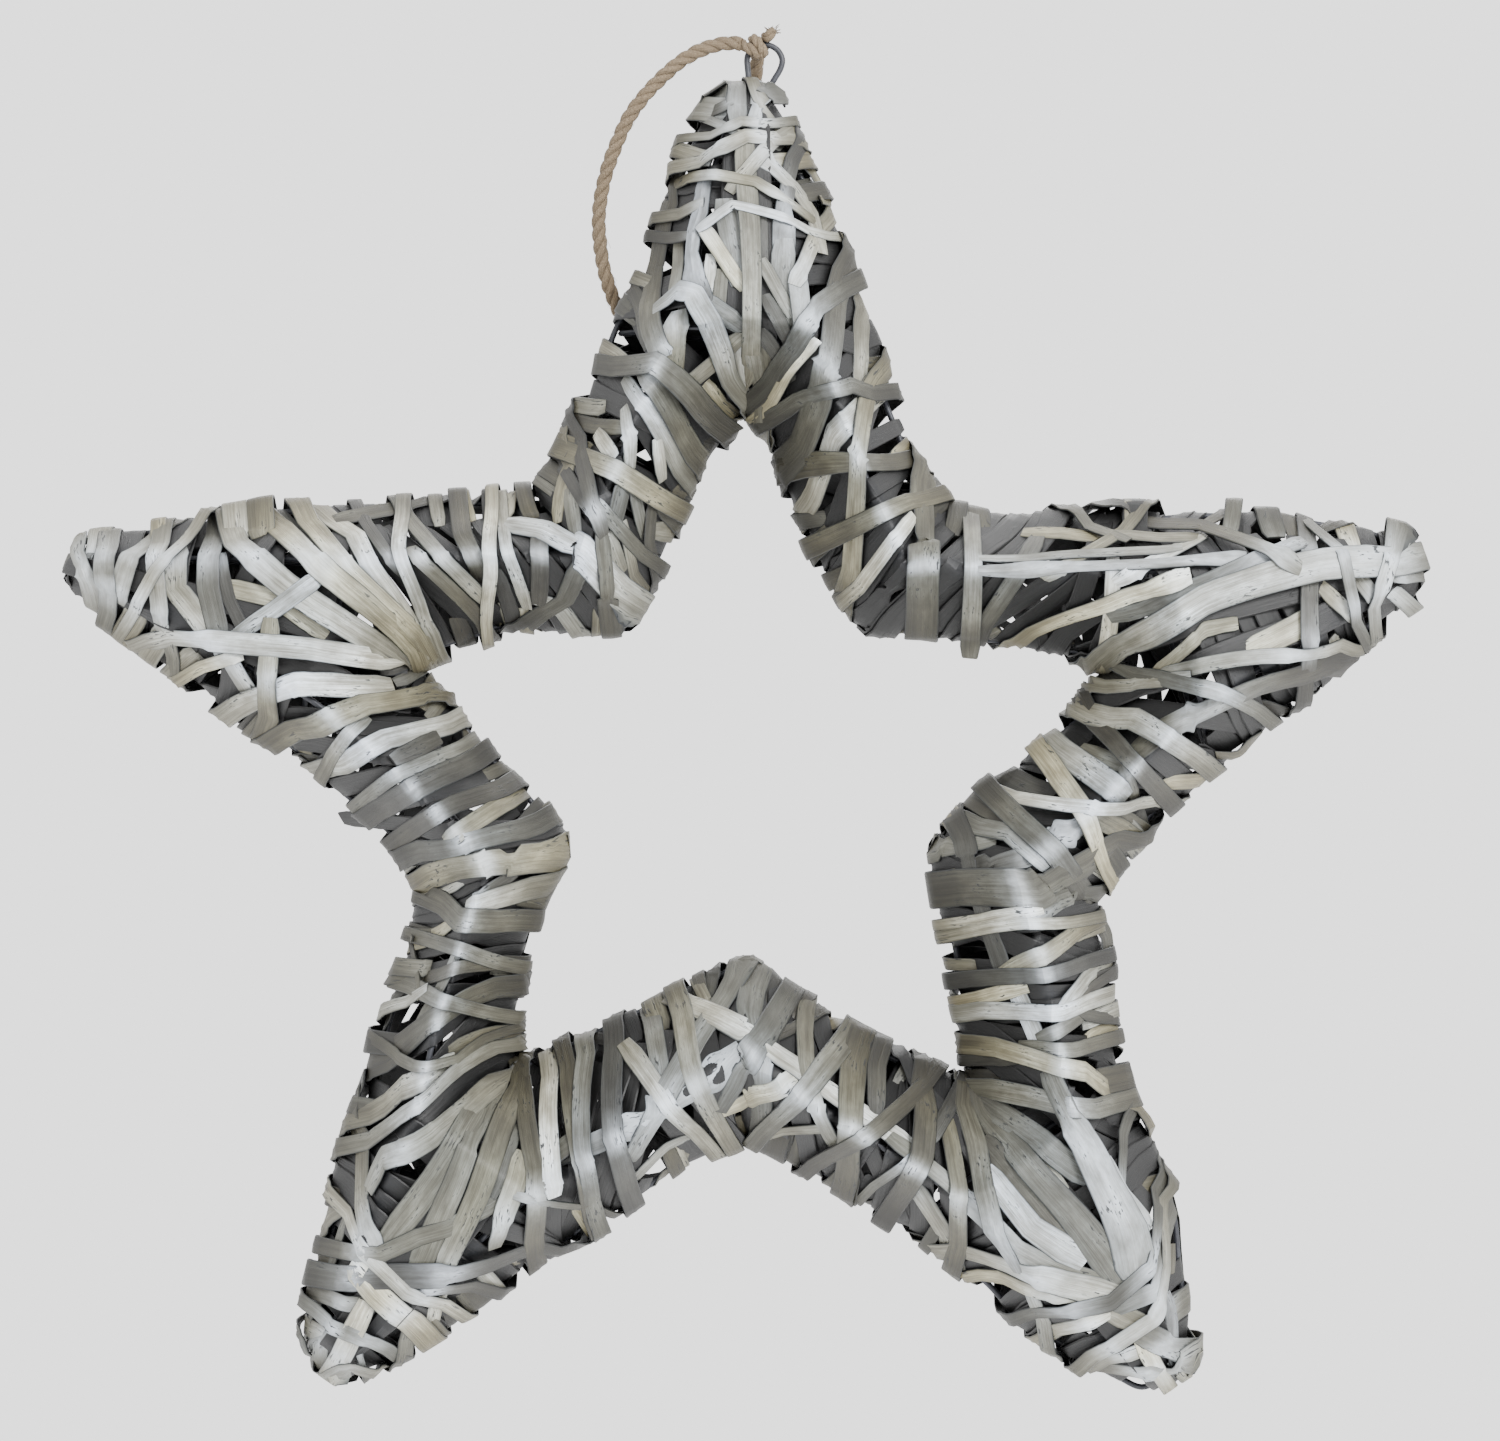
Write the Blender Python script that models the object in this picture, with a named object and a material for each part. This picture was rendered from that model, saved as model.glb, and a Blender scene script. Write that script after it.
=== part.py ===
# A hollow five-pointed star of split willow wound round a frame of wire rods,
# with a wire eye and a loop of twisted jute rope at its top point.
# Metres, +Z up. The star is upright in the XZ plane and its front faces -Y.
# The origin is the centre of the wire eye, which holds the star up.

import math
import random

import bmesh
import bpy
from mathutils import Vector

# The star's plan, to the centre-lines of the wires. Radii are from its centre,
# "along" runs out along an arm and "across" runs sideways from the arm's axis.
ARMS = 5
TIP_RADIUS = 0.256
TIP_HALF_WIDTH = 0.009
VALLEY_RADIUS = 0.122
CROTCH_RADIUS = 0.140
OPENING_RADIUS = 0.0765
RIDGE_DEPTH = 0.032
SHOULDER_ALONG = 0.165
SHOULDER_ACROSS = 0.024
RIDGE_TIP_INSET = 0.006
RIDGE_TIP_ACROSS = 0.004

# Stock
WIRE_DIAMETER = 0.0022
WIRE_SIDES = 6
STRIP_THICKNESS = 0.0012
UNDER_WIDTH = 0.0083
OVER_WIDTH = 0.0076
LONG_STRIP_WIDTH = 0.0065
CROTCH_STRIP_WIDTH = 0.0062
TOUCH_GAP = 0.0003
LAYER_GAP = 0.0006

# How the strips are spread
UNDER_SPACING = 0.0022
OVER_SPACING = 0.0030
LEG_END_MARGIN = 0.0100
TIP_END_MARGIN = 0.0068
ZONE_SPLIT = 0.0935
WIDTH_SPREAD = 0.06
LONG_STRIP_LEAN = 0.0015
CROTCH_STRIP_REACH = 0.040
CROTCH_STRIP_ACROSS = 0.0115
CROTCH_STRIP_INSET = 0.0112
SEED = 11

# Shares and limits of the winding: the end room is a share of a strip's width,
# the crotch room a multiple of the windings' height, and the mean slant says
# how much longer a strip's crossing of an edge is than its width.
END_ROOM = 0.6
CROTCH_ROOM = 2.1
MEAN_SLANT = 1.12
LEAST_TURNS = 2
HUB_STATIONS = 4

# The wire eye, its willow binding and the rope
EYE_RISE = 0.012
EYE_ACROSS = 0.0066
EYE_RADIUS = 0.0064
EYE_NECK = 0.0055
EYE_FOOT = 0.0112
EYE_STEPS = 14
EYE_SIDES = 8
BINDING_HEIGHT = 0.0032
BINDING_THICKNESS = 0.0009
BINDING_DROP = 0.0008
ROPE_DIAMETER = 0.0055
KNOT_START_DEGREES = 72.0
KNOT_END_DEGREES = 140.0
KNOT_RADII = (0.0031, 0.0045, 0.0038, 0.0046, 0.0033)
KNOT_SIDES = 8

# The rope's route from the knot's left side, over and down beside the top arm,
# behind that arm's left flank and up its back to the eye.
ROPE_ROUTE = (
    (-0.0088, 0.0000, 0.0067),
    (-0.0116, 0.0000, 0.0070),
    (-0.0155, 0.0002, 0.0068),
    (-0.0205, 0.0004, 0.0056),
    (-0.0262, 0.0006, 0.0032),
    (-0.0325, 0.0008, -0.0008),
    (-0.0403, 0.0010, -0.0080),
    (-0.0458, 0.0014, -0.0142),
    (-0.0510, 0.0022, -0.0220),
    (-0.0568, 0.0040, -0.0355),
    (-0.0600, 0.0062, -0.0470),
    (-0.0612, 0.0090, -0.0580),
    (-0.0602, 0.0130, -0.0705),
    (-0.0580, 0.0165, -0.0800),
    (-0.0545, 0.0205, -0.0890),
    (-0.0500, 0.0262, -0.0975),
    (-0.0442, 0.0342, -0.1035),
    (-0.0375, 0.0422, -0.1060),
    (-0.0305, 0.0470, -0.1025),
    (-0.0250, 0.0470, -0.0935),
    (-0.0207, 0.0430, -0.0810),
    (-0.0170, 0.0380, -0.0680),
    (-0.0135, 0.0335, -0.0540),
    (-0.0100, 0.0290, -0.0400),
    (-0.0068, 0.0248, -0.0265),
    (-0.0048, 0.0215, -0.0150),
    (-0.0038, 0.0190, -0.0065),
    (-0.0032, 0.0163, 0.0000),
    (-0.0028, 0.0128, 0.0042),
    (-0.0026, 0.0090, 0.0062),
    (-0.0026, 0.0058, 0.0068),
)
ROPE_POINT_SPACING = 2.5
ROPE_BEVEL_STEPS = 2
ROUTE_STEPS = 8

# Colours, as linear red, green and blue, and finishes
WILLOW_GREY = (0.42, 0.44, 0.44)
WILLOW_PALE = (0.52, 0.55, 0.56)
WILLOW_KHAKI = (0.36, 0.34, 0.26)
WIRE_DARK = (0.055, 0.058, 0.068)
JUTE_TAN = (0.42, 0.29, 0.16)
WILLOW_ROUGHNESS = 0.72
WIRE_ROUGHNESS = 0.5
WIRE_METALLIC = 0.6
JUTE_ROUGHNESS = 0.9
SMOOTH_DEGREES = 50.0

ARM_NAMES = ("top", "right", "lower_right", "lower_left", "left")
SIDE_NAMES = {-1: "left", 1: "right"}
FRONT = -1
BACK = 1
DEPTHWISE = Vector((0.0, 1.0, 0.0))
WIRE_RADIUS = WIRE_DIAMETER / 2
HALF_TURN = math.pi / ARMS
EYE_HEIGHT = TIP_RADIUS + EYE_RISE


def clear_scene():
    for item in list(bpy.data.objects):
        bpy.data.objects.remove(item)


def material(name, colour, roughness, metallic=0.0):
    made = bpy.data.materials.new(name)
    made.use_nodes = True
    shader = made.node_tree.nodes["Principled BSDF"]
    shader.inputs["Base Color"].default_value = (*colour, 1.0)
    shader.inputs["Roughness"].default_value = roughness
    shader.inputs["Metallic"].default_value = metallic
    made.diffuse_color = (*colour, 1.0)
    return made


def add_object(name, shape, finish, smooth=False):
    """Puts a bmesh in the scene as an object, with its faces turned outwards."""
    bmesh.ops.recalc_face_normals(shape, faces=shape.faces)
    mesh = bpy.data.meshes.new(name)
    shape.to_mesh(mesh)
    shape.free()
    mesh.materials.append(finish)
    if smooth:
        mesh.shade_smooth()
        mesh.set_sharp_from_angle(angle=math.radians(SMOOTH_DEGREES))
    made = bpy.data.objects.new(name, mesh)
    bpy.context.scene.collection.objects.link(made)
    return made


def on_arm(arm, along, across, depth=0.0):
    """A point of the star, from its place on one arm. The eye is the origin."""
    angle = 2 * HALF_TURN * arm
    outward = Vector((math.sin(angle), 0.0, math.cos(angle)))
    sideways = Vector((math.cos(angle), 0.0, -math.sin(angle)))
    centre = Vector((-EYE_ACROSS, 0.0, -EYE_HEIGHT))
    return centre + outward * along + sideways * across + Vector((0.0, depth, 0.0))


def edge_distance(along, across):
    """How far a place on an arm's plan lies inside the outline wire."""
    run = TIP_RADIUS - VALLEY_RADIUS * math.cos(HALF_TURN)
    rise = VALLEY_RADIUS * math.sin(HALF_TURN) - TIP_HALF_WIDTH
    length = math.hypot(run, rise)
    return ((TIP_RADIUS - along) * rise + (TIP_HALF_WIDTH - across) * run) / length


RIDGE_RADIUS = (VALLEY_RADIUS + OPENING_RADIUS) / 2
RIDGE_TIP_ALONG = TIP_RADIUS - RIDGE_TIP_INSET
FLANK_SLOPE = RIDGE_DEPTH / edge_distance(
    RIDGE_RADIUS * math.cos(HALF_TURN), RIDGE_RADIUS * math.sin(HALF_TURN)
)
RIDGE_TIP_DEPTH = FLANK_SLOPE * edge_distance(RIDGE_TIP_ALONG, RIDGE_TIP_ACROSS)
SHOULDER_DEPTH = FLANK_SLOPE * edge_distance(SHOULDER_ALONG, SHOULDER_ACROSS)


def valley(arm, side, radius, depth=0.0):
    """A point in the valley beside an arm, on the line that halves it."""
    along = radius * math.cos(HALF_TURN)
    return on_arm(arm, along, side * radius * math.sin(HALF_TURN), depth)


def tip(arm, side):
    return on_arm(arm, TIP_RADIUS, side * TIP_HALF_WIDTH)


def shoulder(arm, side, face):
    return on_arm(arm, SHOULDER_ALONG, side * SHOULDER_ACROSS, face * SHOULDER_DEPTH)


def ridge_tip(arm, side, face):
    depth = face * RIDGE_TIP_DEPTH
    return on_arm(arm, RIDGE_TIP_ALONG, side * RIDGE_TIP_ACROSS, depth)


def ridge_foot(arm, side, face):
    return valley(arm, side, RIDGE_RADIUS, face * RIDGE_DEPTH)


def corner_ring(before, here, after, sides, level):
    """A rod's section at a bend, cut on the plane that halves the bend.

    The level direction, which the rod never runs along, keeps it from twisting.
    """
    came = (here - before).normalized()
    goes = (after - here).normalized()
    run = (came + goes).normalized()
    first = run.cross(level).normalized()
    second = run.cross(first).normalized()
    bend = (goes - came).normalized()
    stretch = 1.0 / run.dot(goes)
    ring = []
    for index in range(sides):
        angle = 2 * math.pi * index / sides
        spoke = first * math.cos(angle) + second * math.sin(angle)
        spoke += bend * spoke.dot(bend) * (stretch - 1.0)
        ring.append(here + spoke * WIRE_RADIUS)
    return ring


def skin_rings(shape, rings, closed):
    """Joins rings of points into a tube, with flat ends where it is open."""
    made = [[shape.verts.new(point) for point in ring] for ring in rings]
    count = len(made[0])
    for index in range(len(made) if closed else len(made) - 1):
        near = made[index]
        far = made[(index + 1) % len(made)]
        for side in range(count):
            after = (side + 1) % count
            shape.faces.new((near[side], near[after], far[after], far[side]))
    if not closed:
        shape.faces.new(made[0])
        shape.faces.new(list(reversed(made[-1])))


def closed_wire(name, points, finish, level=DEPTHWISE):
    """A rod bent through the points and back to the first of them."""
    shape = bmesh.new()
    rings = []
    for index, here in enumerate(points):
        after = points[(index + 1) % len(points)]
        before = points[index - 1]
        rings.append(corner_ring(before, here, after, WIRE_SIDES, level))
    skin_rings(shape, rings, closed=True)
    return add_object(name, shape, finish, smooth=True)


def joined_wire(name, points, finish, sides):
    """A rod that another one carries on at both ends.

    The first and last points lie on the other rod: they only set how the two
    are mitred where they meet, with a touching gap between them.
    """
    shape = bmesh.new()
    rings = []
    for index in range(1, len(points) - 1):
        before, here, after = points[index - 1 : index + 2]
        ring = corner_ring(before, here, after, sides, DEPTHWISE)
        if index == 1:
            back = (after - here).normalized() * TOUCH_GAP
            ring = [point + back for point in ring]
        if index == len(points) - 2:
            back = (before - here).normalized() * TOUCH_GAP
            ring = [point + back for point in ring]
        rings.append(ring)
    skin_rings(shape, rings, closed=False)
    return add_object(name, shape, finish, smooth=True)


def make_outline_wire(finish):
    eye = eye_path()
    points = [eye[-2], tip(0, 1), valley(0, 1, VALLEY_RADIUS)]
    for arm in range(1, ARMS):
        points += [tip(arm, -1), tip(arm, 1), valley(arm, 1, VALLEY_RADIUS)]
    points += [tip(0, -1), eye[1]]
    joined_wire("outline_wire", points, finish, WIRE_SIDES)


def make_opening_wire(finish):
    points = []
    for arm in range(ARMS):
        points += [on_arm(arm, CROTCH_RADIUS, 0.0), valley(arm, 1, OPENING_RADIUS)]
    closed_wire("opening_wire", points, finish)


def make_ridge_wire(name, face, finish):
    points = []
    for arm in range(ARMS):
        points += [shoulder(arm, -1, face), ridge_tip(arm, -1, face)]
        points += [ridge_tip(arm, 1, face), shoulder(arm, 1, face)]
        points.append(ridge_foot(arm, 1, face))
    closed_wire(name, points, finish)


def inside_corners(points):
    """Draws a rib's corners in, so that it touches the rods inside them."""
    drawn = []
    for index, here in enumerate(points):
        back = (points[index - 1] - here).normalized()
        on = (points[(index + 1) % len(points)] - here).normalized()
        inward = (back + on).normalized()
        half_angle_sine = math.sqrt((1 - back.dot(on)) / 2)
        reach = WIRE_RADIUS + WIRE_RADIUS / half_angle_sine + TOUCH_GAP
        drawn.append(here + inward * reach)
    return drawn


def make_ribs(finish):
    for arm in range(ARMS):
        points = [
            valley(arm, 1, VALLEY_RADIUS),
            ridge_foot(arm, 1, FRONT),
            valley(arm, 1, OPENING_RADIUS),
            ridge_foot(arm, 1, BACK),
        ]
        name = "valley_rib_after_" + ARM_NAMES[arm]
        level = (points[0] - points[2]).cross(DEPTHWISE)
        closed_wire(name, inside_corners(points), finish, level)
    share = (SHOULDER_ALONG - VALLEY_RADIUS * math.cos(HALF_TURN)) / (
        TIP_RADIUS - VALLEY_RADIUS * math.cos(HALF_TURN)
    )
    for arm in range(ARMS):
        right = valley(arm, 1, VALLEY_RADIUS).lerp(tip(arm, 1), share)
        left = valley(arm, -1, VALLEY_RADIUS).lerp(tip(arm, -1), share)
        points = [right, shoulder(arm, 1, FRONT), shoulder(arm, -1, FRONT)]
        points += [left, shoulder(arm, -1, BACK), shoulder(arm, 1, BACK)]
        level = (right - left).cross(DEPTHWISE)
        name = "arm_rib_" + ARM_NAMES[arm]
        closed_wire(name, inside_corners(points), finish, level)


class Edge:
    """A straight rod that strips fold over, from one end to the other."""

    def __init__(self, start, end):
        self.start = start
        self.run = (end - start).normalized()
        self.length = (end - start).length

    def at(self, distance):
        return self.start + self.run * distance


def strip(name, stations, finish):
    """A flat strip through stations, folding along the edge that each one crosses.

    A station is a point, the run of its edge, and the strip's width and offset
    there. The offset is from the rods' centre-lines to the strip's inner face.
    """
    shape = bmesh.new()
    count = len(stations)
    normals = []
    for index in range(count - 1):
        point, run = stations[index][:2]
        ahead, run_ahead = stations[index + 1][:2]
        path = ahead - point
        pair = []
        for edge_run in (run, run_ahead):
            normal = edge_run.cross(path).normalized()
            if normal.dot((point + ahead) / 2 - hub_of(stations, index)) < 0:
                normal.negate()
            pair.append(normal)
        normals.append(pair)
    rings = []
    for index, (point, run, width, offset) in enumerate(stations):
        arriving = normals[index - 1][1] if index else normals[0][0]
        leaving = normals[index][0] if index < count - 1 else normals[-1][1]
        outward = (arriving + leaving) / (1 + arriving.dot(leaving))
        slants = []
        if index:
            slants.append(slant(point - stations[index - 1][0], run))
        if index < count - 1:
            slants.append(slant(stations[index + 1][0] - point, run))
        half = run * width / 2 * sum(slants) / len(slants)
        low = point + outward * offset
        high = point + outward * (offset + STRIP_THICKNESS)
        rings.append((low - half, low + half, high + half, high - half))
    skin_rings(shape, rings, closed=False)
    return add_object(name, shape, finish)


def slant(path, run):
    """How much wider a strip is along an edge than across itself."""
    return 1.0 / path.normalized().cross(run).length


def hub_of(stations, index):
    """The middle of the turn that a strip is making at a station."""
    first = max(0, index + 1 - HUB_STATIONS)
    near = stations[first : index + 1 + HUB_STATIONS]
    return sum((station[0] for station in near), Vector()) / len(near)


def winding(rounds, edges, spans, layer, width, reverse=False, inwards=False):
    """Stations of a strip wound round the edges, moving along their spans."""
    order = list(range(len(edges)))
    if reverse:
        order = [0, *reversed(order[1:])]
    steps = rounds * len(edges)
    stations = []
    for step in range(steps + 1):
        which = order[step % len(edges)]
        low, high = reversed(spans[which]) if inwards else spans[which]
        point = edges[which].at(low + (high - low) * step / steps)
        stations.append((point, edges[which].run, width, layer_offset(layer)))
    return stations


def leg_edges(arm, side):
    outer = Edge(valley(arm, side, VALLEY_RADIUS), tip(arm, side))
    inner = Edge(
        valley(arm, side, OPENING_RADIUS), on_arm(arm, CROTCH_RADIUS, 0.0)
    )
    front = Edge(ridge_foot(arm, side, FRONT), shoulder(arm, side, FRONT))
    back = Edge(ridge_foot(arm, side, BACK), shoulder(arm, side, BACK))
    return [outer, front, inner, back]


def tip_edges(arm):
    edges = [Edge(valley(arm, 1, VALLEY_RADIUS), tip(arm, 1))]
    for side in (1, -1):
        edges.append(Edge(shoulder(arm, side, FRONT), ridge_tip(arm, side, FRONT)))
    edges.append(Edge(valley(arm, -1, VALLEY_RADIUS), tip(arm, -1)))
    for side in (-1, 1):
        edges.append(Edge(shoulder(arm, side, BACK), ridge_tip(arm, side, BACK)))
    return edges


def layer_offset(layer):
    first = WIRE_RADIUS + TOUCH_GAP
    return first + layer * (STRIP_THICKNESS + LAYER_GAP)


def rounds_in(length, width, spacing):
    return max(LEAST_TURNS, int(length / (MEAN_SLANT * width + spacing)))


def make_leg_windings(finishes, dice):
    """Each half of an arm is wound twice, the second strip the other way."""
    reach = layer_offset(2) + STRIP_THICKNESS
    for arm in range(ARMS):
        for side in (-1, 1):
            edges = leg_edges(arm, side)
            for layer, label, width, spacing in (
                (1, "under", UNDER_WIDTH, UNDER_SPACING),
                (2, "over", OVER_WIDTH, OVER_SPACING),
            ):
                wide = width * (1 + dice.uniform(-WIDTH_SPREAD, WIDTH_SPREAD))
                room = wide * END_ROOM
                inner_end = edges[2].length - reach * CROTCH_ROOM - room
                spans = [
                    (LEG_END_MARGIN, ZONE_SPLIT - room),
                    (room, edges[1].length - room),
                    (room, inner_end),
                    (room, edges[3].length - room),
                ]
                rounds = rounds_in(inner_end - room, wide, spacing)
                reverse = (side > 0) == (layer == 1)
                stations = winding(rounds, edges, spans, layer, wide, reverse)
                name = f"willow_{label}_{ARM_NAMES[arm]}_{SIDE_NAMES[side]}"
                finish = finishes[dice.randrange(len(finishes))]
                strip(name, stations, finish)


def make_tip_windings(finishes, dice):
    """The outer part of each arm is wound out to its tip and back over itself."""
    for arm in range(ARMS):
        edges = tip_edges(arm)
        stations = []
        for layer, width, spacing in (
            (1, UNDER_WIDTH, UNDER_SPACING),
            (2, OVER_WIDTH, OVER_SPACING),
        ):
            wide = width * (1 + dice.uniform(-WIDTH_SPREAD, WIDTH_SPREAD))
            room = wide * END_ROOM
            outer_span = (ZONE_SPLIT + room, edges[0].length - TIP_END_MARGIN)
            ridge_span = (room, edges[1].length - TIP_END_MARGIN)
            spans = [outer_span, ridge_span, ridge_span] * 2
            rounds = rounds_in(outer_span[1] - outer_span[0], wide, spacing)
            inwards = layer == 2
            turns = winding(rounds, edges, spans, layer, wide, inwards=inwards)
            stations += turns[1:] if inwards else turns
        finish = finishes[dice.randrange(len(finishes))]
        strip(f"willow_{ARM_NAMES[arm]}_tip", stations, finish)


def on_deck(arm, along, across, face):
    """A point on the flat between an arm's two ridges."""
    share = (along - SHOULDER_ALONG) / (RIDGE_TIP_ALONG - SHOULDER_ALONG)
    depth = SHOULDER_DEPTH + (RIDGE_TIP_DEPTH - SHOULDER_DEPTH) * share
    return on_arm(arm, along, across, face * depth)


def lying_strip(name, places, run, width, finish):
    """A strip under the windings, across edges that all run the same way."""
    offset = layer_offset(0)
    strip(name, [(place, run, width, offset) for place in places], finish)


def make_long_strips(finishes, dice):
    """A strip lies along the flat front and back of each arm, over its tip.

    The top arm's one ends at the tip, where the eye's wire begins.
    """
    for arm in range(ARMS):
        run = on_arm(arm, 0.0, 1.0) - on_arm(arm, 0.0, 0.0)
        lean = dice.uniform(-LONG_STRIP_LEAN, LONG_STRIP_LEAN)
        inward = SHOULDER_ALONG + LONG_STRIP_WIDTH
        places = [
            on_deck(arm, inward, lean, FRONT),
            on_deck(arm, RIDGE_TIP_ALONG, 0.0, FRONT),
            on_arm(arm, TIP_RADIUS, 0.0, 0.0),
            on_deck(arm, RIDGE_TIP_ALONG, 0.0, BACK),
            on_deck(arm, inward, lean, BACK),
        ]
        if arm == 0:
            places = places[:2]
            places.append(on_arm(arm, TIP_RADIUS, 0.0, FRONT * WIRE_DIAMETER))
        finish = finishes[dice.randrange(len(finishes))]
        name = "willow_long_" + ARM_NAMES[arm]
        lying_strip(name, places, run, LONG_STRIP_WIDTH, finish)


def make_crotch_strips(finishes, dice):
    """Two strips hook round the opening wire beside each crotch."""
    for arm in range(ARMS):
        across = on_arm(arm, 0.0, 1.0) - on_arm(arm, 0.0, 0.0)
        for side in (-1, 1):
            inner = leg_edges(arm, side)[2]
            far = SHOULDER_ALONG + CROTCH_STRIP_REACH
            lateral = side * CROTCH_STRIP_ACROSS
            hook = inner.at(inner.length - CROTCH_STRIP_INSET)
            stations = []
            for place, run in (
                (on_deck(arm, far, lateral, FRONT), across),
                (on_deck(arm, SHOULDER_ALONG, lateral, FRONT), across),
                (hook, inner.run),
                (on_deck(arm, SHOULDER_ALONG, lateral, BACK), across),
                (on_deck(arm, far, lateral, BACK), across),
            ):
                aligned = run if run.dot(across * side) < 0 else -run
                stations.append((place, aligned, CROTCH_STRIP_WIDTH, layer_offset(0)))
            finish = finishes[dice.randrange(len(finishes))]
            name = f"willow_crotch_{ARM_NAMES[arm]}_{SIDE_NAMES[side]}"
            strip(name, stations, finish)


def eye_point(degrees, radius=EYE_RADIUS):
    angle = math.radians(degrees)
    return Vector((radius * math.cos(angle), 0.0, radius * math.sin(angle)))


def neck_degrees():
    """How far either side of straight down the eye's round part ends."""
    return math.degrees(math.asin(EYE_NECK / 2 / EYE_RADIUS))


def eye_path():
    """From the outline wire's left end, up round the eye, to its right end."""
    start = 270.0 - neck_degrees()
    sweep = 360.0 - 2 * neck_degrees()
    points = [tip(0, -1), Vector((-EYE_NECK / 2, 0.0, -EYE_FOOT))]
    for step in range(EYE_STEPS + 1):
        points.append(eye_point(start - sweep * step / EYE_STEPS))
    points.append(tip(0, 1))
    return points


def make_eye(finish):
    left = valley(0, -1, VALLEY_RADIUS)
    right = valley(0, 1, VALLEY_RADIUS)
    joined_wire("hanging_eye", [left, *eye_path(), right], finish, EYE_SIDES)


def make_binding(finish):
    """A narrow strip of willow round the eye's neck."""
    clear = WIRE_RADIUS + TOUCH_GAP
    top = -EYE_RADIUS * math.cos(math.radians(neck_degrees())) - BINDING_DROP
    rings = []
    for across, deep in ((-1, -1), (1, -1), (1, 1), (-1, 1)):
        ring = []
        for extra, drop in ((0, 1), (0, 0), (1, 0), (1, 1)):
            x = across * (EYE_NECK / 2 + clear + BINDING_THICKNESS * extra)
            y = deep * (clear + BINDING_THICKNESS * extra)
            ring.append(Vector((x, y, top - drop * BINDING_HEIGHT)))
        rings.append(ring)
    shape = bmesh.new()
    skin_rings(shape, rings, closed=True)
    add_object("eye_binding", shape, finish)


def make_knot(finish):
    """Two turns of the rope round the eye's wire, with a hole that clears it."""
    shape = bmesh.new()
    inner_radius = WIRE_RADIUS / math.cos(math.pi / KNOT_SIDES) + TOUCH_GAP
    walls = []
    for radii in (KNOT_RADII, [inner_radius] * len(KNOT_RADII)):
        rings = []
        for index, radius in enumerate(radii):
            share = index / (len(radii) - 1)
            degrees = KNOT_START_DEGREES + share * (
                KNOT_END_DEGREES - KNOT_START_DEGREES
            )
            centre = eye_point(degrees)
            spoke = centre.normalized()
            ring = []
            for side in range(KNOT_SIDES):
                angle = 2 * math.pi * (side + 0.5) / KNOT_SIDES
                away = spoke * math.cos(angle) + Vector((0, math.sin(angle), 0))
                ring.append(shape.verts.new(centre + away * radius))
            rings.append(ring)
        walls.append(rings)
    outer, inner = walls
    for wall in walls:
        for near, far in zip(wall, wall[1:]):
            for side in range(KNOT_SIDES):
                after = (side + 1) % KNOT_SIDES
                shape.faces.new((near[side], near[after], far[after], far[side]))
    for end in (0, -1):
        for side in range(KNOT_SIDES):
            after = (side + 1) % KNOT_SIDES
            shape.faces.new(
                (outer[end][side], outer[end][after], inner[end][after], inner[end][side])
            )
    add_object("rope_knot", shape, finish, smooth=True)


def smooth_route(points, spacing):
    """Evenly spaced points on a smooth curve through the route."""
    fine = []
    padded = [points[0], *points, points[-1]]
    for index in range(1, len(padded) - 2):
        before, start, end, after = padded[index - 1 : index + 3]
        for step in range(ROUTE_STEPS):
            t = step / ROUTE_STEPS
            fine.append(
                (
                    2 * start
                    + (end - before) * t
                    + (2 * before - 5 * start + 4 * end - after) * t**2
                    + (3 * start - before - 3 * end + after) * t**3
                )
                / 2
            )
    fine.append(points[-1])
    total = sum((b - a).length for a, b in zip(fine, fine[1:]))
    count = max(2, round(total / spacing))
    even = [fine[0]]
    walked = 0.0
    for a, b in zip(fine, fine[1:]):
        length = (b - a).length
        while len(even) < count and walked + length >= total * len(even) / count:
            share = (total * len(even) / count - walked) / length
            even.append(a.lerp(b, share))
        walked += length
    even.append(fine[-1])
    return even


def make_rope(finish):
    route = [Vector(point) for point in ROPE_ROUTE]
    points = smooth_route(route, ROPE_POINT_SPACING * ROPE_DIAMETER)
    curve = bpy.data.curves.new("jute_rope", "CURVE")
    curve.dimensions = "3D"
    curve.bevel_depth = ROPE_DIAMETER / 2
    curve.bevel_resolution = ROPE_BEVEL_STEPS
    curve.use_fill_caps = True
    spline = curve.splines.new("POLY")
    spline.points.add(len(points) - 1)
    for place, point in zip(spline.points, points):
        place.co = (*point, 1.0)
    spline.use_smooth = True
    curve.materials.append(finish)
    made = bpy.data.objects.new("jute_rope", curve)
    bpy.context.scene.collection.objects.link(made)


def main():
    clear_scene()
    dice = random.Random(SEED)
    willows = [
        material("willow_grey", WILLOW_GREY, WILLOW_ROUGHNESS),
        material("willow_pale", WILLOW_PALE, WILLOW_ROUGHNESS),
        material("willow_khaki", WILLOW_KHAKI, WILLOW_ROUGHNESS),
    ]
    steel = material("dark_wire", WIRE_DARK, WIRE_ROUGHNESS, WIRE_METALLIC)
    jute = material("jute", JUTE_TAN, JUTE_ROUGHNESS)
    make_outline_wire(steel)
    make_opening_wire(steel)
    make_ridge_wire("front_ridge_wire", FRONT, steel)
    make_ridge_wire("back_ridge_wire", BACK, steel)
    make_ribs(steel)
    make_leg_windings(willows, dice)
    make_tip_windings(willows, dice)
    make_long_strips(willows, dice)
    make_crotch_strips(willows, dice)
    make_eye(steel)
    make_binding(willows[0])
    make_knot(jute)
    make_rope(jute)


main()
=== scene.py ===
import math
import random

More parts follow.
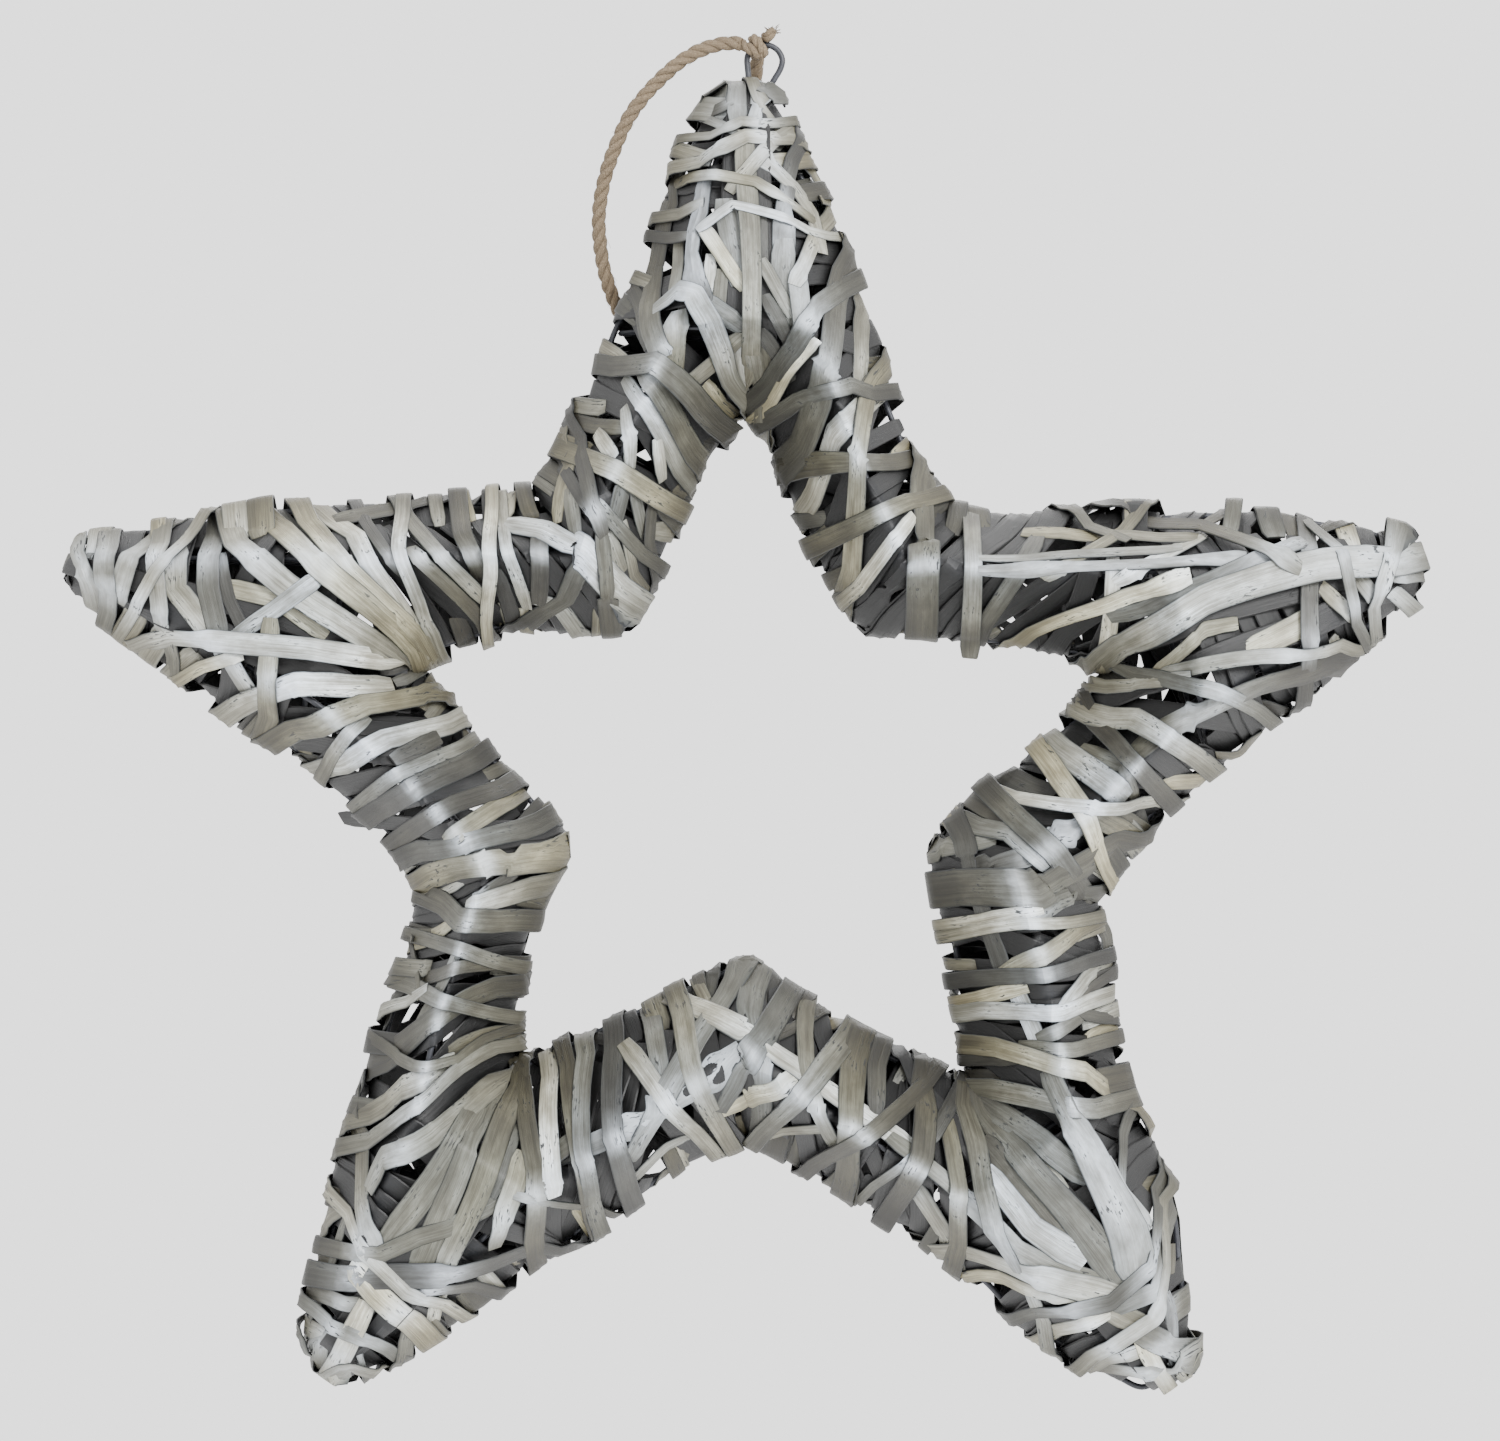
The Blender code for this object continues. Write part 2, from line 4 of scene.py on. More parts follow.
import bpy
import numpy as np
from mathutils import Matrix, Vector


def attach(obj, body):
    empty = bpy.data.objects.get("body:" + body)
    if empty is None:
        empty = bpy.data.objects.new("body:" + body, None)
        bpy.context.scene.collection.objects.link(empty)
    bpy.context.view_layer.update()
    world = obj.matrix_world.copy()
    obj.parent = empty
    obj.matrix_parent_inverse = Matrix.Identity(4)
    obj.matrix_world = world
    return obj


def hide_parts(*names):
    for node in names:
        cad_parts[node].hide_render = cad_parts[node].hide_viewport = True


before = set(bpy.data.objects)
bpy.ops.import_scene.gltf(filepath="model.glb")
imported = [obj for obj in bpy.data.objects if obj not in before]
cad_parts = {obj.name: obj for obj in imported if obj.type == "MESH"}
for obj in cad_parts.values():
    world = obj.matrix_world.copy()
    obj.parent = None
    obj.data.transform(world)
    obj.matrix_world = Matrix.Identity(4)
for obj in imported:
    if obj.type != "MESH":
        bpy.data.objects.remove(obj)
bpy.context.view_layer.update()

# A hollow wicker star that hangs from a wire eye with a loop of jute rope.
# Metres, +Z up, the star's front faces -Y and the eye's centre is the origin.


def deselectAll():
    for item in bpy.context.selected_objects:
        item.select_set(False)


def pick(piece):
    deselectAll()
    bpy.context.view_layer.objects.active = piece
    piece.select_set(True)


# The camera looks straight at the star's front
view = {"distance": 2.2, "across": -0.0055, "up": -0.2414, "frameWidth": 0.55, "sensor": 36.0}

deselectAll()
bpy.ops.object.camera_add(
    location=(view["across"], -view["distance"], view["up"]), rotation=(math.pi / 2, 0, 0)
)
camera = bpy.context.object
camera.data.sensor_width = view["sensor"]
camera.data.lens = view["sensor"] * view["distance"] / view["frameWidth"]
bpy.context.scene.camera = camera
print("camera placed")


class Nodes:
    # A material's node tree, with its links made as the nodes are added
    def __init__(self, name):
        self.material = bpy.data.materials.new(name)
        self.material.use_nodes = True
        self.tree = self.material.node_tree
        self.shader = self.tree.nodes["Principled BSDF"]

    def add(self, kind, settings=None, **inputs):
        node = self.tree.nodes.new("ShaderNode" + kind)
        for key, value in (settings or {}).items():
            setattr(node, key, value)
        for key, value in inputs.items():
            self.put(node.inputs[key], value)
        return node

    def put(self, socket, value):
        if isinstance(value, bpy.types.NodeSocket):
            self.tree.links.new(value, socket)
        else:
            socket.default_value = value

    def math(self, operation, first, second, third=0.0, clamp=False):
        node = self.add("Math", {"operation": operation, "use_clamp": clamp})
        for socket, value in zip(node.inputs, (first, second, third)):
            self.put(socket, value)
        return node.outputs[0]

    def spread(self, value, factor, base):
        return self.math("MULTIPLY_ADD", value, factor, base)

    def mix(self, share, first, second, blend="MIX"):
        node = self.add("Mix", {"data_type": "RGBA", "blend_type": blend})
        for socket, value in zip((node.inputs[0], node.inputs[6], node.inputs[7]), (share, first, second)):
            self.put(socket, value)
        return node.outputs[2]

    def tint(self, share, colour, by):
        return self.mix(share, colour, by, "MULTIPLY")

    def ramp(self, share, stops, smooth=True):
        node = self.add("ValToRGB", Fac=share)
        band = node.color_ramp
        band.interpolation = "EASE" if smooth else "LINEAR"
        for index, (place, colour) in enumerate(stops):
            stop = band.elements[index] if index < 2 else band.elements.new(place)
            stop.position = place
            stop.color = (*colour, 1.0)
        return node.outputs[0]

    def mask(self, share, low, high):
        return self.ramp(share, ((low, (0.0, 0.0, 0.0)), (high, (1.0, 1.0, 1.0))))

    def noise(self, vector, scale, detail, roughness=0.55, distortion=0.0):
        node = self.add(
            "TexNoise", Vector=vector, Scale=scale, Detail=detail, Roughness=roughness, Distortion=distortion
        )
        return node.outputs["Fac"]

    def grain(self, vector, across, along, *settings):
        # A noise stretched along a strip or a strand
        return self.noise(self.add("Mapping", Vector=vector, Scale=(across, along, 1.0)).outputs[0], *settings)

    def attribute(self, name):
        return self.add("Attribute", {"attribute_name": name}).outputs["Fac"]

    def bump(self, height, strength, distance):
        return self.add("Bump", Height=height, Strength=strength, Distance=distance).outputs[0]

    def finish(self, *values):
        for key, value in zip(("Base Color", "Roughness", "Normal"), values):
            self.put(self.shader.inputs[key], value)
        return self.material


# Split willow under a worn grey-white wash, with painted shade and painted highlights. A noise has its stretch across
# and along, scale, detail, roughness and distortion, a ramp its stops, a tint its share and stops.
willowLook = {
    "noises": {
        "fibres": (3000.0, 60.0, 1.0, 6.0, 0.66, 0.0),
        "streaks": (900.0, 14.0, 1.0, 4.0, 0.6, 0.3),
        "clouds": (170.0, 60.0, 1.0, 4.0, 0.6, 0.0),
        "drift": (40.0, 16.0, 1.0, 3.0, 0.5, 0.0),
        "pits": (1500.0, 330.0, 1.0, 2.0, 0.5, 0.0),
        "pitted": (150.0, 60.0, 1.0, 2.0, 0.5, 0.0),
    },
    "tones": (
        (0.0, (0.050, 0.051, 0.051)), (0.25, (0.074, 0.074, 0.072)), (0.5, (0.103, 0.104, 0.100)),
        (0.75, (0.150, 0.152, 0.150)), (1.0, (0.222, 0.226, 0.230)),
    ),
    "ramps": {
        "warmth": ((0.0, (0.985, 1.00, 1.02)), (0.5, (1.0, 0.995, 0.965)), (1.0, (1.03, 1.00, 0.885))),
        # rise: painted shade, darker and khaki towards the star's edges, and a painted pale bluish highlight along its
        # ridge
        "rise": (
            (0.0, (0.62, 0.595, 0.53)), (0.35, (0.87, 0.85, 0.80)), (0.8, (1.0, 1.0, 1.0)),
            (1.0, (1.06, 1.07, 1.085)),
        ),
    },
    "tints": {
        "fibres": (0.70, ((0.34, (0.80, 0.79, 0.77)), (0.60, (1.06, 1.06, 1.06)))),
        "streaks": (0.50, ((0.36, (0.76, 0.75, 0.72)), (0.58, (1.06, 1.06, 1.07)))),
        "clouds": (0.90, ((0.30, (0.82, 0.81, 0.78)), (0.68, (1.11, 1.12, 1.13)))),
    },
    "toneDrift": (0.7, -0.35),
    # rub: the wash rubbed pale at the folds, with a painted bluish highlight over them
    "rubSpread": (1.1, 0.05),
    "rubbed": (0.235, 0.244, 0.256, 1.0),
    "pitStops": (0.57, 0.63),
    "pittedStops": (0.55, 0.65),
    "pitShare": 0.75,
    "pit": (0.034, 0.036, 0.038, 1.0),
    "edgePower": 2.0,
    # painted shade along the strips' sides
    "wornSpread": (1.2, 0.15),
    "worn": (0.030, 0.036, 0.042, 1.0),
    # inside: painted shade for strips that lie inside the star and for strip undersides
    "inside": (0.15, 0.16, 0.185, 1.0),
    "contrast": 2.6,
    "level": (26.5, 26.5, 26.5, 1.0),
    "heights": (0.6, 0.8, 0.6),  # of fibres and streaks, and the depth of pits
    "roughness": (0.25, 0.44),
    "bump": (0.5, 0.0005),
}
# Dull dark wire with faint draw lines and specks of rust. Noises: scale, detail, roughness.
wireLook = {
    "fine": (900.0, 3.0, 0.6),
    "patches": (60.0, 4.0, 0.6),
    "specks": (210.0, 4.0, 0.65),
    "colours": ((0.35, (0.014, 0.015, 0.019)), (0.65, (0.034, 0.036, 0.044))),
    "rustStops": (0.66, 0.74),
    "rustShare": 0.5,
    "rust": (0.060, 0.040, 0.028, 1.0),
    "metallic": 0.3,
    "roughness": (0.3, 0.36),
    "bump": (0.3, 0.0003),
}
# Tan jute yarn, its fibres running round with the twist
juteLook = {
    "fibres": (9.0, 260.0, 6.0, 5.0, 0.65, 0.4),
    "patches": (1.0, 46.0, 1.0, 3.0, 0.6),
    "colours": ((0.30, (0.045, 0.030, 0.016)), (0.48, (0.140, 0.102, 0.063)), (0.70, (0.260, 0.210, 0.148))),
    "patchShare": 0.6,
    "patchColours": ((0.3, (0.78, 0.75, 0.70)), (0.7, (1.12, 1.10, 1.05))),
    "roughness": 0.86,
    "bump": (0.7, 0.0007),
}


def washedWillow():
    # Attributes of a strip: tone from dark to pale, warmth from bluish to khaki, rub at
    # its folds with a painted highlight, rise from the star's edge (0) to its ridge (1) for painted shade and
    # highlight, edge along its sides for painted shade, and shade, painted shade where it lies inside or underneath
    n, look = Nodes("washedWillow"), willowLook
    uv = n.add("UVMap", {"uv_map": "along"}).outputs[0]
    noises = {key: n.grain(uv, *settings) for key, settings in look["noises"].items()}
    tone = n.math("ADD", n.attribute("tone"), n.spread(noises["drift"], *look["toneDrift"]))
    colour = n.ramp(tone, look["tones"], smooth=False)
    # warmth tints each strip; rise paints shade towards the star's edges and a highlight at its ridge
    for key, stops in look["ramps"].items():
        colour = n.tint(1.0, colour, n.ramp(n.attribute(key), stops))
    for key, (share, stops) in look["tints"].items():
        colour = n.tint(share, colour, n.ramp(noises[key], stops))
    # paler bluish colour at the folds: partly the wash rubbed off, partly a painted highlight over the ridge
    rub = n.math("MULTIPLY", n.attribute("rub"), n.spread(noises["clouds"], *look["rubSpread"]), clamp=True)
    colour = n.mix(rub, colour, look["rubbed"])
    pits = n.math("MULTIPLY", n.mask(noises["pits"], *look["pitStops"]), n.mask(noises["pitted"], *look["pittedStops"]))
    colour = n.mix(n.math("MULTIPLY", pits, look["pitShare"]), colour, look["pit"])
    # painted shade along the strips' sides and edges, broken up by the streaks
    edge = n.math("POWER", n.attribute("edge"), look["edgePower"])
    worn = n.math("MULTIPLY", edge, n.spread(noises["streaks"], *look["wornSpread"]), clamp=True)
    colour = n.mix(worn, colour, look["worn"])
    # painted shade: strips that lie inside and the undersides are darkened
    colour = n.tint(n.attribute("shade"), colour, look["inside"])
    # spreads the tones: dark ones darker, pale ones paler
    colour = n.tint(1.0, n.add("Gamma", Color=colour, Gamma=look["contrast"]).outputs[0], look["level"])
    fibres, streaks, pits = [
        n.math("MULTIPLY", source, factor) for source, factor in
        zip((noises["fibres"], noises["streaks"], pits), look["heights"])
    ]
    height = n.math("SUBTRACT", n.math("ADD", fibres, streaks), pits)
    return n.finish(colour, n.spread(noises["fibres"], *look["roughness"]), n.bump(height, *look["bump"]))


def darkWire():
    n, look = Nodes("darkWire"), wireLook
    place = n.add("TexCoord").outputs["Object"]
    fine, patches, specks = [n.noise(place, *look[key]) for key in ("fine", "patches", "specks")]
    rust = n.math("MULTIPLY", n.mask(specks, *look["rustStops"]), look["rustShare"])
    colour = n.mix(rust, n.ramp(patches, look["colours"]), look["rust"])
    n.put(n.shader.inputs["Metallic"], look["metallic"])
    return n.finish(colour, n.spread(fine, *look["roughness"]), n.bump(fine, *look["bump"]))


def twistedJute():
    n, look = Nodes("twistedJute"), juteLook
    uv = n.add("UVMap", {"uv_map": "along"}).outputs[0]
    fibres, patches = n.grain(uv, *look["fibres"]), n.grain(uv, *look["patches"])
    colour = n.tint(look["patchShare"], n.ramp(fibres, look["colours"]), n.ramp(patches, look["patchColours"]))
    return n.finish(colour, look["roughness"], n.bump(fibres, *look["bump"]))


willowFinish = washedWillow()
wireFinish = darkWire()
juteFinish = twistedJute()
print("finishes mixed")


def unit(vector):
    return vector / max(np.linalg.norm(vector), 1e-12)


def unitRows(vectors):
    return vectors / np.maximum(np.linalg.norm(vectors, axis=1)[:, None], 1e-9)


def walkedAlong(line):
    return np.concatenate([[0.0], np.cumsum(np.linalg.norm(np.diff(line, axis=0), axis=1))])


def resampled(line, measure, wanted):
    # The line's places where its measure has the wanted values
    return np.stack([np.interp(wanted, measure, line[:, axis]) for axis in range(3)], axis=1)


def metres(*points):
    # From tenths of a millimetre
    return [tuple(value / 10000 for value in point) for point in points]


def smoothLine(points, spacing, steps=24):
    # Even points on a Catmull-Rom curve through the given ones
    points = np.array(points, float)
    padded = np.vstack([2 * points[0] - points[1], points, 2 * points[-1] - points[-2]])
    fine = []
    for before, start, end, after in zip(padded, padded[1:], padded[2:], padded[3:]):
        for t in np.linspace(0.0, 1.0, steps, endpoint=False):
            fine.append(
                0.5 * (2 * start + (end - before) * t + (2 * before - 5 * start + 4 * end - after) * t**2
                       + (3 * start - before - 3 * end + after) * t**3)
            )
    fine = np.array([*fine, points[-1]])
    walked = walkedAlong(fine)
    count = max(3, int(round(walked[-1] / spacing)) + 1)
    return resampled(fine, walked, np.linspace(0.0, walked[-1], count))


def lineFrames(line):
    # Tangents, and two cross directions carried along the line without twist
    tangents = unitRows(np.gradient(line, axis=0))
    sides = np.zeros_like(line)
    start = np.cross(tangents[0], (0.0, 1.0, 0.0))
    if np.linalg.norm(start) < 0.2:  # the line starts along Y
        start = np.cross(tangents[0], (1.0, 0.0, 0.0))
    sides[0] = unit(start)
    for index in range(1, len(line)):
        carried = sides[index - 1] - tangents[index] * np.dot(sides[index - 1], tangents[index])
        sides[index] = unit(carried)
    return tangents, sides, np.cross(tangents, sides)


def sweptFaces(uOf, vOf, first=0, flipped=False, capU=None):
    # Faces and UVs of rings of points closed by two caps: one v for each ring, one u for
    # each point of a ring and one more where the ring closes
    sides = len(uOf) - 1
    faces, uvs = [], []
    for row in range(len(vOf) - 1):
        near, far = first + row * sides, first + (row + 1) * sides
        for side in range(sides):
            after = (side + 1) % sides
            corners = [
                (near + side, uOf[side], vOf[row]), (near + after, uOf[side + 1], vOf[row]),
                (far + after, uOf[side + 1], vOf[row + 1]), (far + side, uOf[side], vOf[row + 1]),
            ]
            if flipped:
                corners[1], corners[3] = corners[3], corners[1]
            faces.append([corner for corner, _, _ in corners])
            uvs += [(u, v) for _, u, v in corners]
    for row, order in ((0, -1), (len(vOf) - 1, 1)):
        ring = range(sides)[:: -order if flipped else order]
        faces.append([first + row * sides + side for side in ring])
        uvs += [(uOf[side] if capU is None else capU, vOf[row]) for side in ring]
    return faces, uvs


def buildMesh(name, points, faces, uvs, finish, attributes=None, sharpDegrees=50.0):
    mesh = bpy.data.meshes.new(name)
    mesh.from_pydata(points, [], faces)
    layer = mesh.uv_layers.new(name="along")
    layer.data.foreach_set("uv", np.asarray(uvs, np.float32).ravel())
    for key, values in (attributes or {}).items():
        mesh.attributes.new(key, "FLOAT", "POINT").data.foreach_set("value", np.asarray(values, np.float32))
    mesh.materials.append(finish)
    piece = bpy.data.objects.new(name, mesh)
    bpy.context.scene.collection.objects.link(piece)
    pick(piece)
    bpy.ops.object.shade_smooth_by_angle(angle=math.radians(sharpDegrees))
    return piece


def sweepTubes(name, tubes, finish):
    # Round tubes along lines. UVs: u once round, v in metres along
    points, faces, uvs = [], [], []
    total = 0
    for line, radius, sides in tubes:
        _, across, over = lineFrames(line)
        turn = np.linspace(0.0, 2 * math.pi, sides, endpoint=False)
        ring = across[:, None, :] * np.cos(turn)[None, :, None] + over[:, None, :] * np.sin(turn)[None, :, None]
        points.append((line[:, None, :] + ring * radius).reshape(-1, 3))
        made = sweptFaces([side / sides for side in range(sides + 1)], walkedAlong(line), total, True, 0.5)
        faces += made[0]
        uvs += made[1]
        total += len(points[-1])
    return buildMesh(name, np.vstack(points), faces, uvs, finish)


# The jute rope, from the eye's left side down behind the top arm and back. Routes are
# lists of places in tenths of a millimetre.
rope = {
    "diameter": 0.0055,
    "strands": 3,
    "strandRadius": 0.00150,
    "strandSides": 8,
    "twistRadius": 0.00128,
    "layLength": 0.0150,
    "pointSpacing": 0.0011,
    "pathStep": 6,
    "seed": 5,
}
ropeRoute = metres(
    (-88, 0, 67), (-116, 0, 70), (-155, 2, 68), (-205, 4, 56), (-262, 6, 32), (-325, 8, -8), (-403, 10, -80),
    (-458, 14, -142), (-510, 22, -220), (-568, 40, -355), (-600, 62, -470), (-612, 90, -580), (-602, 130, -705),
    (-580, 165, -800), (-545, 205, -890), (-500, 262, -975), (-442, 342, -1035), (-375, 422, -1060),
    (-305, 470, -1025), (-250, 470, -935), (-207, 430, -810), (-170, 380, -680), (-135, 335, -540),
    (-100, 290, -400), (-68, 248, -265), (-48, 215, -150), (-38, 190, -65), (-32, 163, 0), (-28, 128, 42),
    (-26, 90, 62), (-26, 58, 68),
)
# Short fibres that stand out of the rope, most of them along it
hairs = {
    "count": 260,
    "radius": 0.00007,
    "length": (0.0022, 0.0046),
    "rootShare": 0.46,  # of the rope's diameter
    "rootDepth": (0.8, 1.0),
    "run": (0.5, 1.0),
    "lift": (0.05, 0.27),
    "curl": (-0.5, 0.5),
    "droop": (0.0, 0.35),
    "shares": (0.0, 0.4, 0.75, 1.0),
    "sides": 3,
}
# The rope's end goes twice round the wire of the eye and stands up frayed
knot = {
    "eyeRadius": 0.0064,
    "startDegrees": 141.0,
    "endDegrees": 84.0,
    "firstTurnDegrees": 70.0,
    "turns": 1.9,
    "turnPoints": 26,
    "windRadius": 0.0030,
    "end": ((0.0016, -0.0024, 0.0096), (0.0026, -0.0016, 0.0114)),
    "pointSpacing": 0.0008,
    "strandRadius": 0.00118,
    "twistRadius": 0.00095,
    "layLength": 0.0105,
}
fray = {
    "fibres": 46,
    "rootSpread": 0.0014,
    "rootDrop": -0.8,
    "ways": ((-0.55, 0.75), (-0.6, 0.5), (0.2, 1.0)),
    "length": (0.0025, 0.0048),
    "bends": ((-0.4, 0.4), (-0.3, 0.3)),
    "droop": -0.25,
    "radius": 0.00012,
    "shares": (0.0, 0.35, 0.7, 1.0),
}


def strandTubes(line, radius, twistRadius, layLength):
    # Tubes that wind round the given line, as a rope's strands do
    _, across, over = lineFrames(line)
    walked = walkedAlong(line)
    made = []
    for strand in range(rope["strands"]):
        turn = 2 * math.pi * (strand / rope["strands"] + walked / layLength)
        strandLine = line + twistRadius * (across * np.cos(turn)[:, None] + over * np.sin(turn)[:, None])
        made.append((strandLine, radius, rope["strandSides"]))
    return made


def hairTube(start, way, bend, length, shares, radius):
    line = np.array([start + way * length * t + bend * length * t * t for t in shares])
    return line, radius, hairs["sides"]


def strayHairs(line, dice):
    tangents, across, over = lineFrames(line)
    made = []
    for _ in range(hairs["count"]):
        at = dice.randrange(2, len(line) - 2)
        turn = dice.uniform(0.0, 2 * math.pi)
        out = across[at] * math.cos(turn) + over[at] * math.sin(turn)
        run = tangents[at] * dice.choice((-1, 1)) * dice.uniform(*hairs["run"])
        way = unit(run + out * dice.uniform(*hairs["lift"]))
        length = dice.uniform(*hairs["length"])
        bend = np.cross(way, out) * dice.uniform(*hairs["curl"]) - out * dice.uniform(*hairs["droop"])
        root = line[at] + out * (rope["diameter"] * hairs["rootShare"]) * dice.uniform(*hairs["rootDepth"])
        made.append(hairTube(root, way, bend, length, hairs["shares"], hairs["radius"]))
    return made


def knotLine():
    points = [ropeRoute[1], ropeRoute[0]]
    for t in np.linspace(0.0, 1.0, knot["turnPoints"]):
        degrees = knot["startDegrees"] + (knot["endDegrees"] - knot["startDegrees"]) * t
        spoke = np.array([math.cos(math.radians(degrees)), 0.0, math.sin(math.radians(degrees))])
        turn = math.radians(knot["firstTurnDegrees"]) + 2 * math.pi * knot["turns"] * t
        away = spoke * math.cos(turn) + np.array([0.0, -1.0, 0.0]) * math.sin(turn)
        points.append(spoke * knot["eyeRadius"] + away * knot["windRadius"])
    return smoothLine([*points, *knot["end"]], knot["pointSpacing"])


def frayedEnd(place, dice):
    made = []
    for _ in range(fray["fibres"]):
        offset = [dice.uniform(-1, 1), dice.uniform(-1, 1), fray["rootDrop"]]
        root = place + np.array(offset) * fray["rootSpread"]
        way = np.array([dice.uniform(*limits) for limits in fray["ways"]])
        length = dice.uniform(*fray["length"])
        bend = np.array([*[dice.uniform(*limits) for limits in fray["bends"]], fray["droop"]])
        made.append(hairTube(root, way, bend, length, fray["shares"], fray["radius"]))
    return made


ropeDice = random.Random(rope["seed"])
ropeLine = smoothLine(ropeRoute, rope["pointSpacing"])
knotPath = knotLine()
ropeTubes = strandTubes(ropeLine, rope["strandRadius"], rope["twistRadius"], rope["layLength"])
juteRope = sweepTubes("juteRope", ropeTubes + strayHairs(ropeLine, ropeDice), juteFinish)
knotTubes = strandTubes(knotPath, knot["strandRadius"], knot["twistRadius"], knot["layLength"])
ropeKnot = sweepTubes("ropeKnot", knotTubes + frayedEnd(knotPath[-1], ropeDice), juteFinish)
for piece, node in ((juteRope, "jute_rope"), (ropeKnot, "rope_knot")):
    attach(piece, "root")
    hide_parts(node)

# The skin of the star: flat flanks between the wires, on both faces
star = {
    "centre": (-0.0066, -0.268),
    "arms": 5,
    "tipRadius": 0.256,
    "tipHalfWidth": 0.009,
    "valleyRadius": 0.122,
    "crotchRadius": 0.140,
    "openingRadius": 0.0765,
    "ridgeDepth": 0.032,
    "shoulderAlong": 0.165,
    "shoulderAcross": 0.024,
    "ridgeTipInset": 0.006,
    "ridgeTipAcross": 0.004,
    "ridgeRound": 0.0018,
    "ridgeReach": 0.0075,
    "crotchRound": 0.004,
    "edgeFlat": 0.004,
    "edgeRound": 0.0007,
    "slopeStep": 0.0003,
}
halfTurn = math.pi / star["arms"]
valley = np.array([star["valleyRadius"] * math.cos(halfTurn), star["valleyRadius"] * math.sin(halfTurn)])
tip = np.array([star["tipRadius"], star["tipHalfWidth"]])
crotch = np.array([star["crotchRadius"], 0.0])
shoulder = np.array([star["shoulderAlong"], star["shoulderAcross"]])
ridgeRadius = (star["valleyRadius"] + star["openingRadius"]) / 2
ridgeFoot = ridgeRadius * np.array([math.cos(halfTurn), math.sin(halfTurn)])
openingFoot = star["openingRadius"] * np.array([math.cos(halfTurn), math.sin(halfTurn)])
outerRise = np.array([valley[1] - tip[1], tip[0] - valley[0]])
outLine = outerRise / math.hypot(*outerRise)  # square to the outer edge, away from the star


def squareTo(start, end):
    # The way square to a line of the right half arm, away from the opening
    along = unit(end - start)
    return np.array([along[1], -along[0]])


inLine = squareTo(crotch, openingFoot)
ridgeLine = squareTo(shoulder, ridgeFoot)


# In plan a place lies a along its arm, from the star's centre, and c across it
def outGap(a, c):
    return (star["tipRadius"] - a) * outLine[0] + (star["tipHalfWidth"] - c) * outLine[1]


flankSlope = star["ridgeDepth"] / outGap(*ridgeFoot)
ridgeTipAlong = star["tipRadius"] - star["ridgeTipInset"]
ridgeTipDepth = flankSlope * outGap(ridgeTipAlong, star["ridgeTipAcross"])
shoulderDepth = flankSlope * outGap(*shoulder)
tipSlope = ridgeTipDepth / star["ridgeTipInset"]


def softMin(first, second, width):
    share = np.clip(0.5 + 0.5 * (second - first) / width, 0.0, 1.0)
    return second * (1 - share) + first * share - width * share * (1 - share)


def ownArm(q):
    # The ways along and across the arm nearest to each place, and its a and c
    away = q - np.array(star["centre"])
    turn = np.round(np.arctan2(away[:, 0], away[:, 1]) / (2 * halfTurn)) * 2 * halfTurn
    outward = np.stack([np.sin(turn), np.cos(turn)], axis=1)
    sideways = np.stack([np.cos(turn), -np.sin(turn)], axis=1)
    return outward, sideways, (away * outward).sum(1), (away * sideways).sum(1)


def gaps(a, c):
    # How far inside the outer edge, the point's end and the opening's edge a place lies
    inner = (a - star["crotchRadius"]) * inLine[0] + np.abs(c) * inLine[1]
    return outGap(a, np.abs(c)), star["tipRadius"] - a, inner


def edgeGap(q):
    _, _, a, c = ownArm(np.atleast_2d(q))
    return np.minimum.reduce(gaps(a, c))


def rounded(gap):
    return np.sqrt(gap**2 + star["edgeRound"] ** 2) - star["edgeRound"] - gap


def onSkin(q, face):
    # A place on the front (1) or back (-1) skin. A place past an edge wire goes
    # on round it, over the other face. Gives the point, its plan, its face and how
    # near the ridge it is (0 to 1).
    outward, sideways, a, c = ownArm(q)
    mirror = np.where(c < 0, -1.0, 1.0)
    c = np.abs(c)
    face = np.asarray(face, float) * np.ones(len(q))
    shiftA = np.zeros(len(q))
    shiftC = np.zeros(len(q))
    for kind, way in enumerate((-outLine, np.array([-1.0, 0.0]), inLine)):
        gap = gaps(a, c)[kind]
        past = gap < 0
        a = np.where(past, a - 2 * gap * way[0], a)
        c = np.where(past, c - 2 * gap * way[1], c)
        face = np.where(past, -face, face)
        nudge = rounded(np.abs(gap))
        shiftA += nudge * way[0]
        shiftC += nudge * way[1]
    out, end, inner = gaps(a, c)
    toRidge = -((a - ridgeFoot[0]) * ridgeLine[0] + (np.abs(c) - ridgeFoot[1]) * ridgeLine[1])
    innerFlank = star["ridgeDepth"] * inner / np.maximum(inner + toRidge, star["crotchRound"])
    crotchRise = (a - star["crotchRadius"]) * star["ridgeDepth"] / (star["shoulderAlong"] - star["crotchRadius"])
    innerFlank = -softMin(-innerFlank, -crotchRise, star["crotchRound"])
    share = (a - star["shoulderAlong"]) / (ridgeTipAlong - star["shoulderAlong"])
    deck = shoulderDepth + (ridgeTipDepth - shoulderDepth) * share
    flank = np.minimum(flankSlope * out, tipSlope * end)
    top = softMin(innerFlank, deck, star["ridgeRound"])
    depth = np.maximum(softMin(flank, top, star["ridgeRound"]), 0.0)
    depth = np.where(flank < star["edgeFlat"], flank, depth)
    ridge = np.exp(-(((flank - top) / star["ridgeReach"]) ** 2))
    plan = np.array(star["centre"]) + outward * a[:, None] + sideways * (mirror * c)[:, None]
    place = plan + outward * shiftA[:, None] + sideways * (mirror * shiftC)[:, None]
    return np.stack([place[:, 0], -face * depth, place[:, 1]], axis=1), plan, face, ridge


def skinFrames(q, face):
    # The skin's two slopes and its outward direction at each place
    slopes = []
    for step in np.eye(2) * star["slopeStep"]:
        slopes.append((onSkin(q + step, face)[0] - onSkin(q - step, face)[0]) / (2 * star["slopeStep"]))
    return *slopes, unitRows(np.cross(*slopes) * np.asarray(face, float)[:, None])


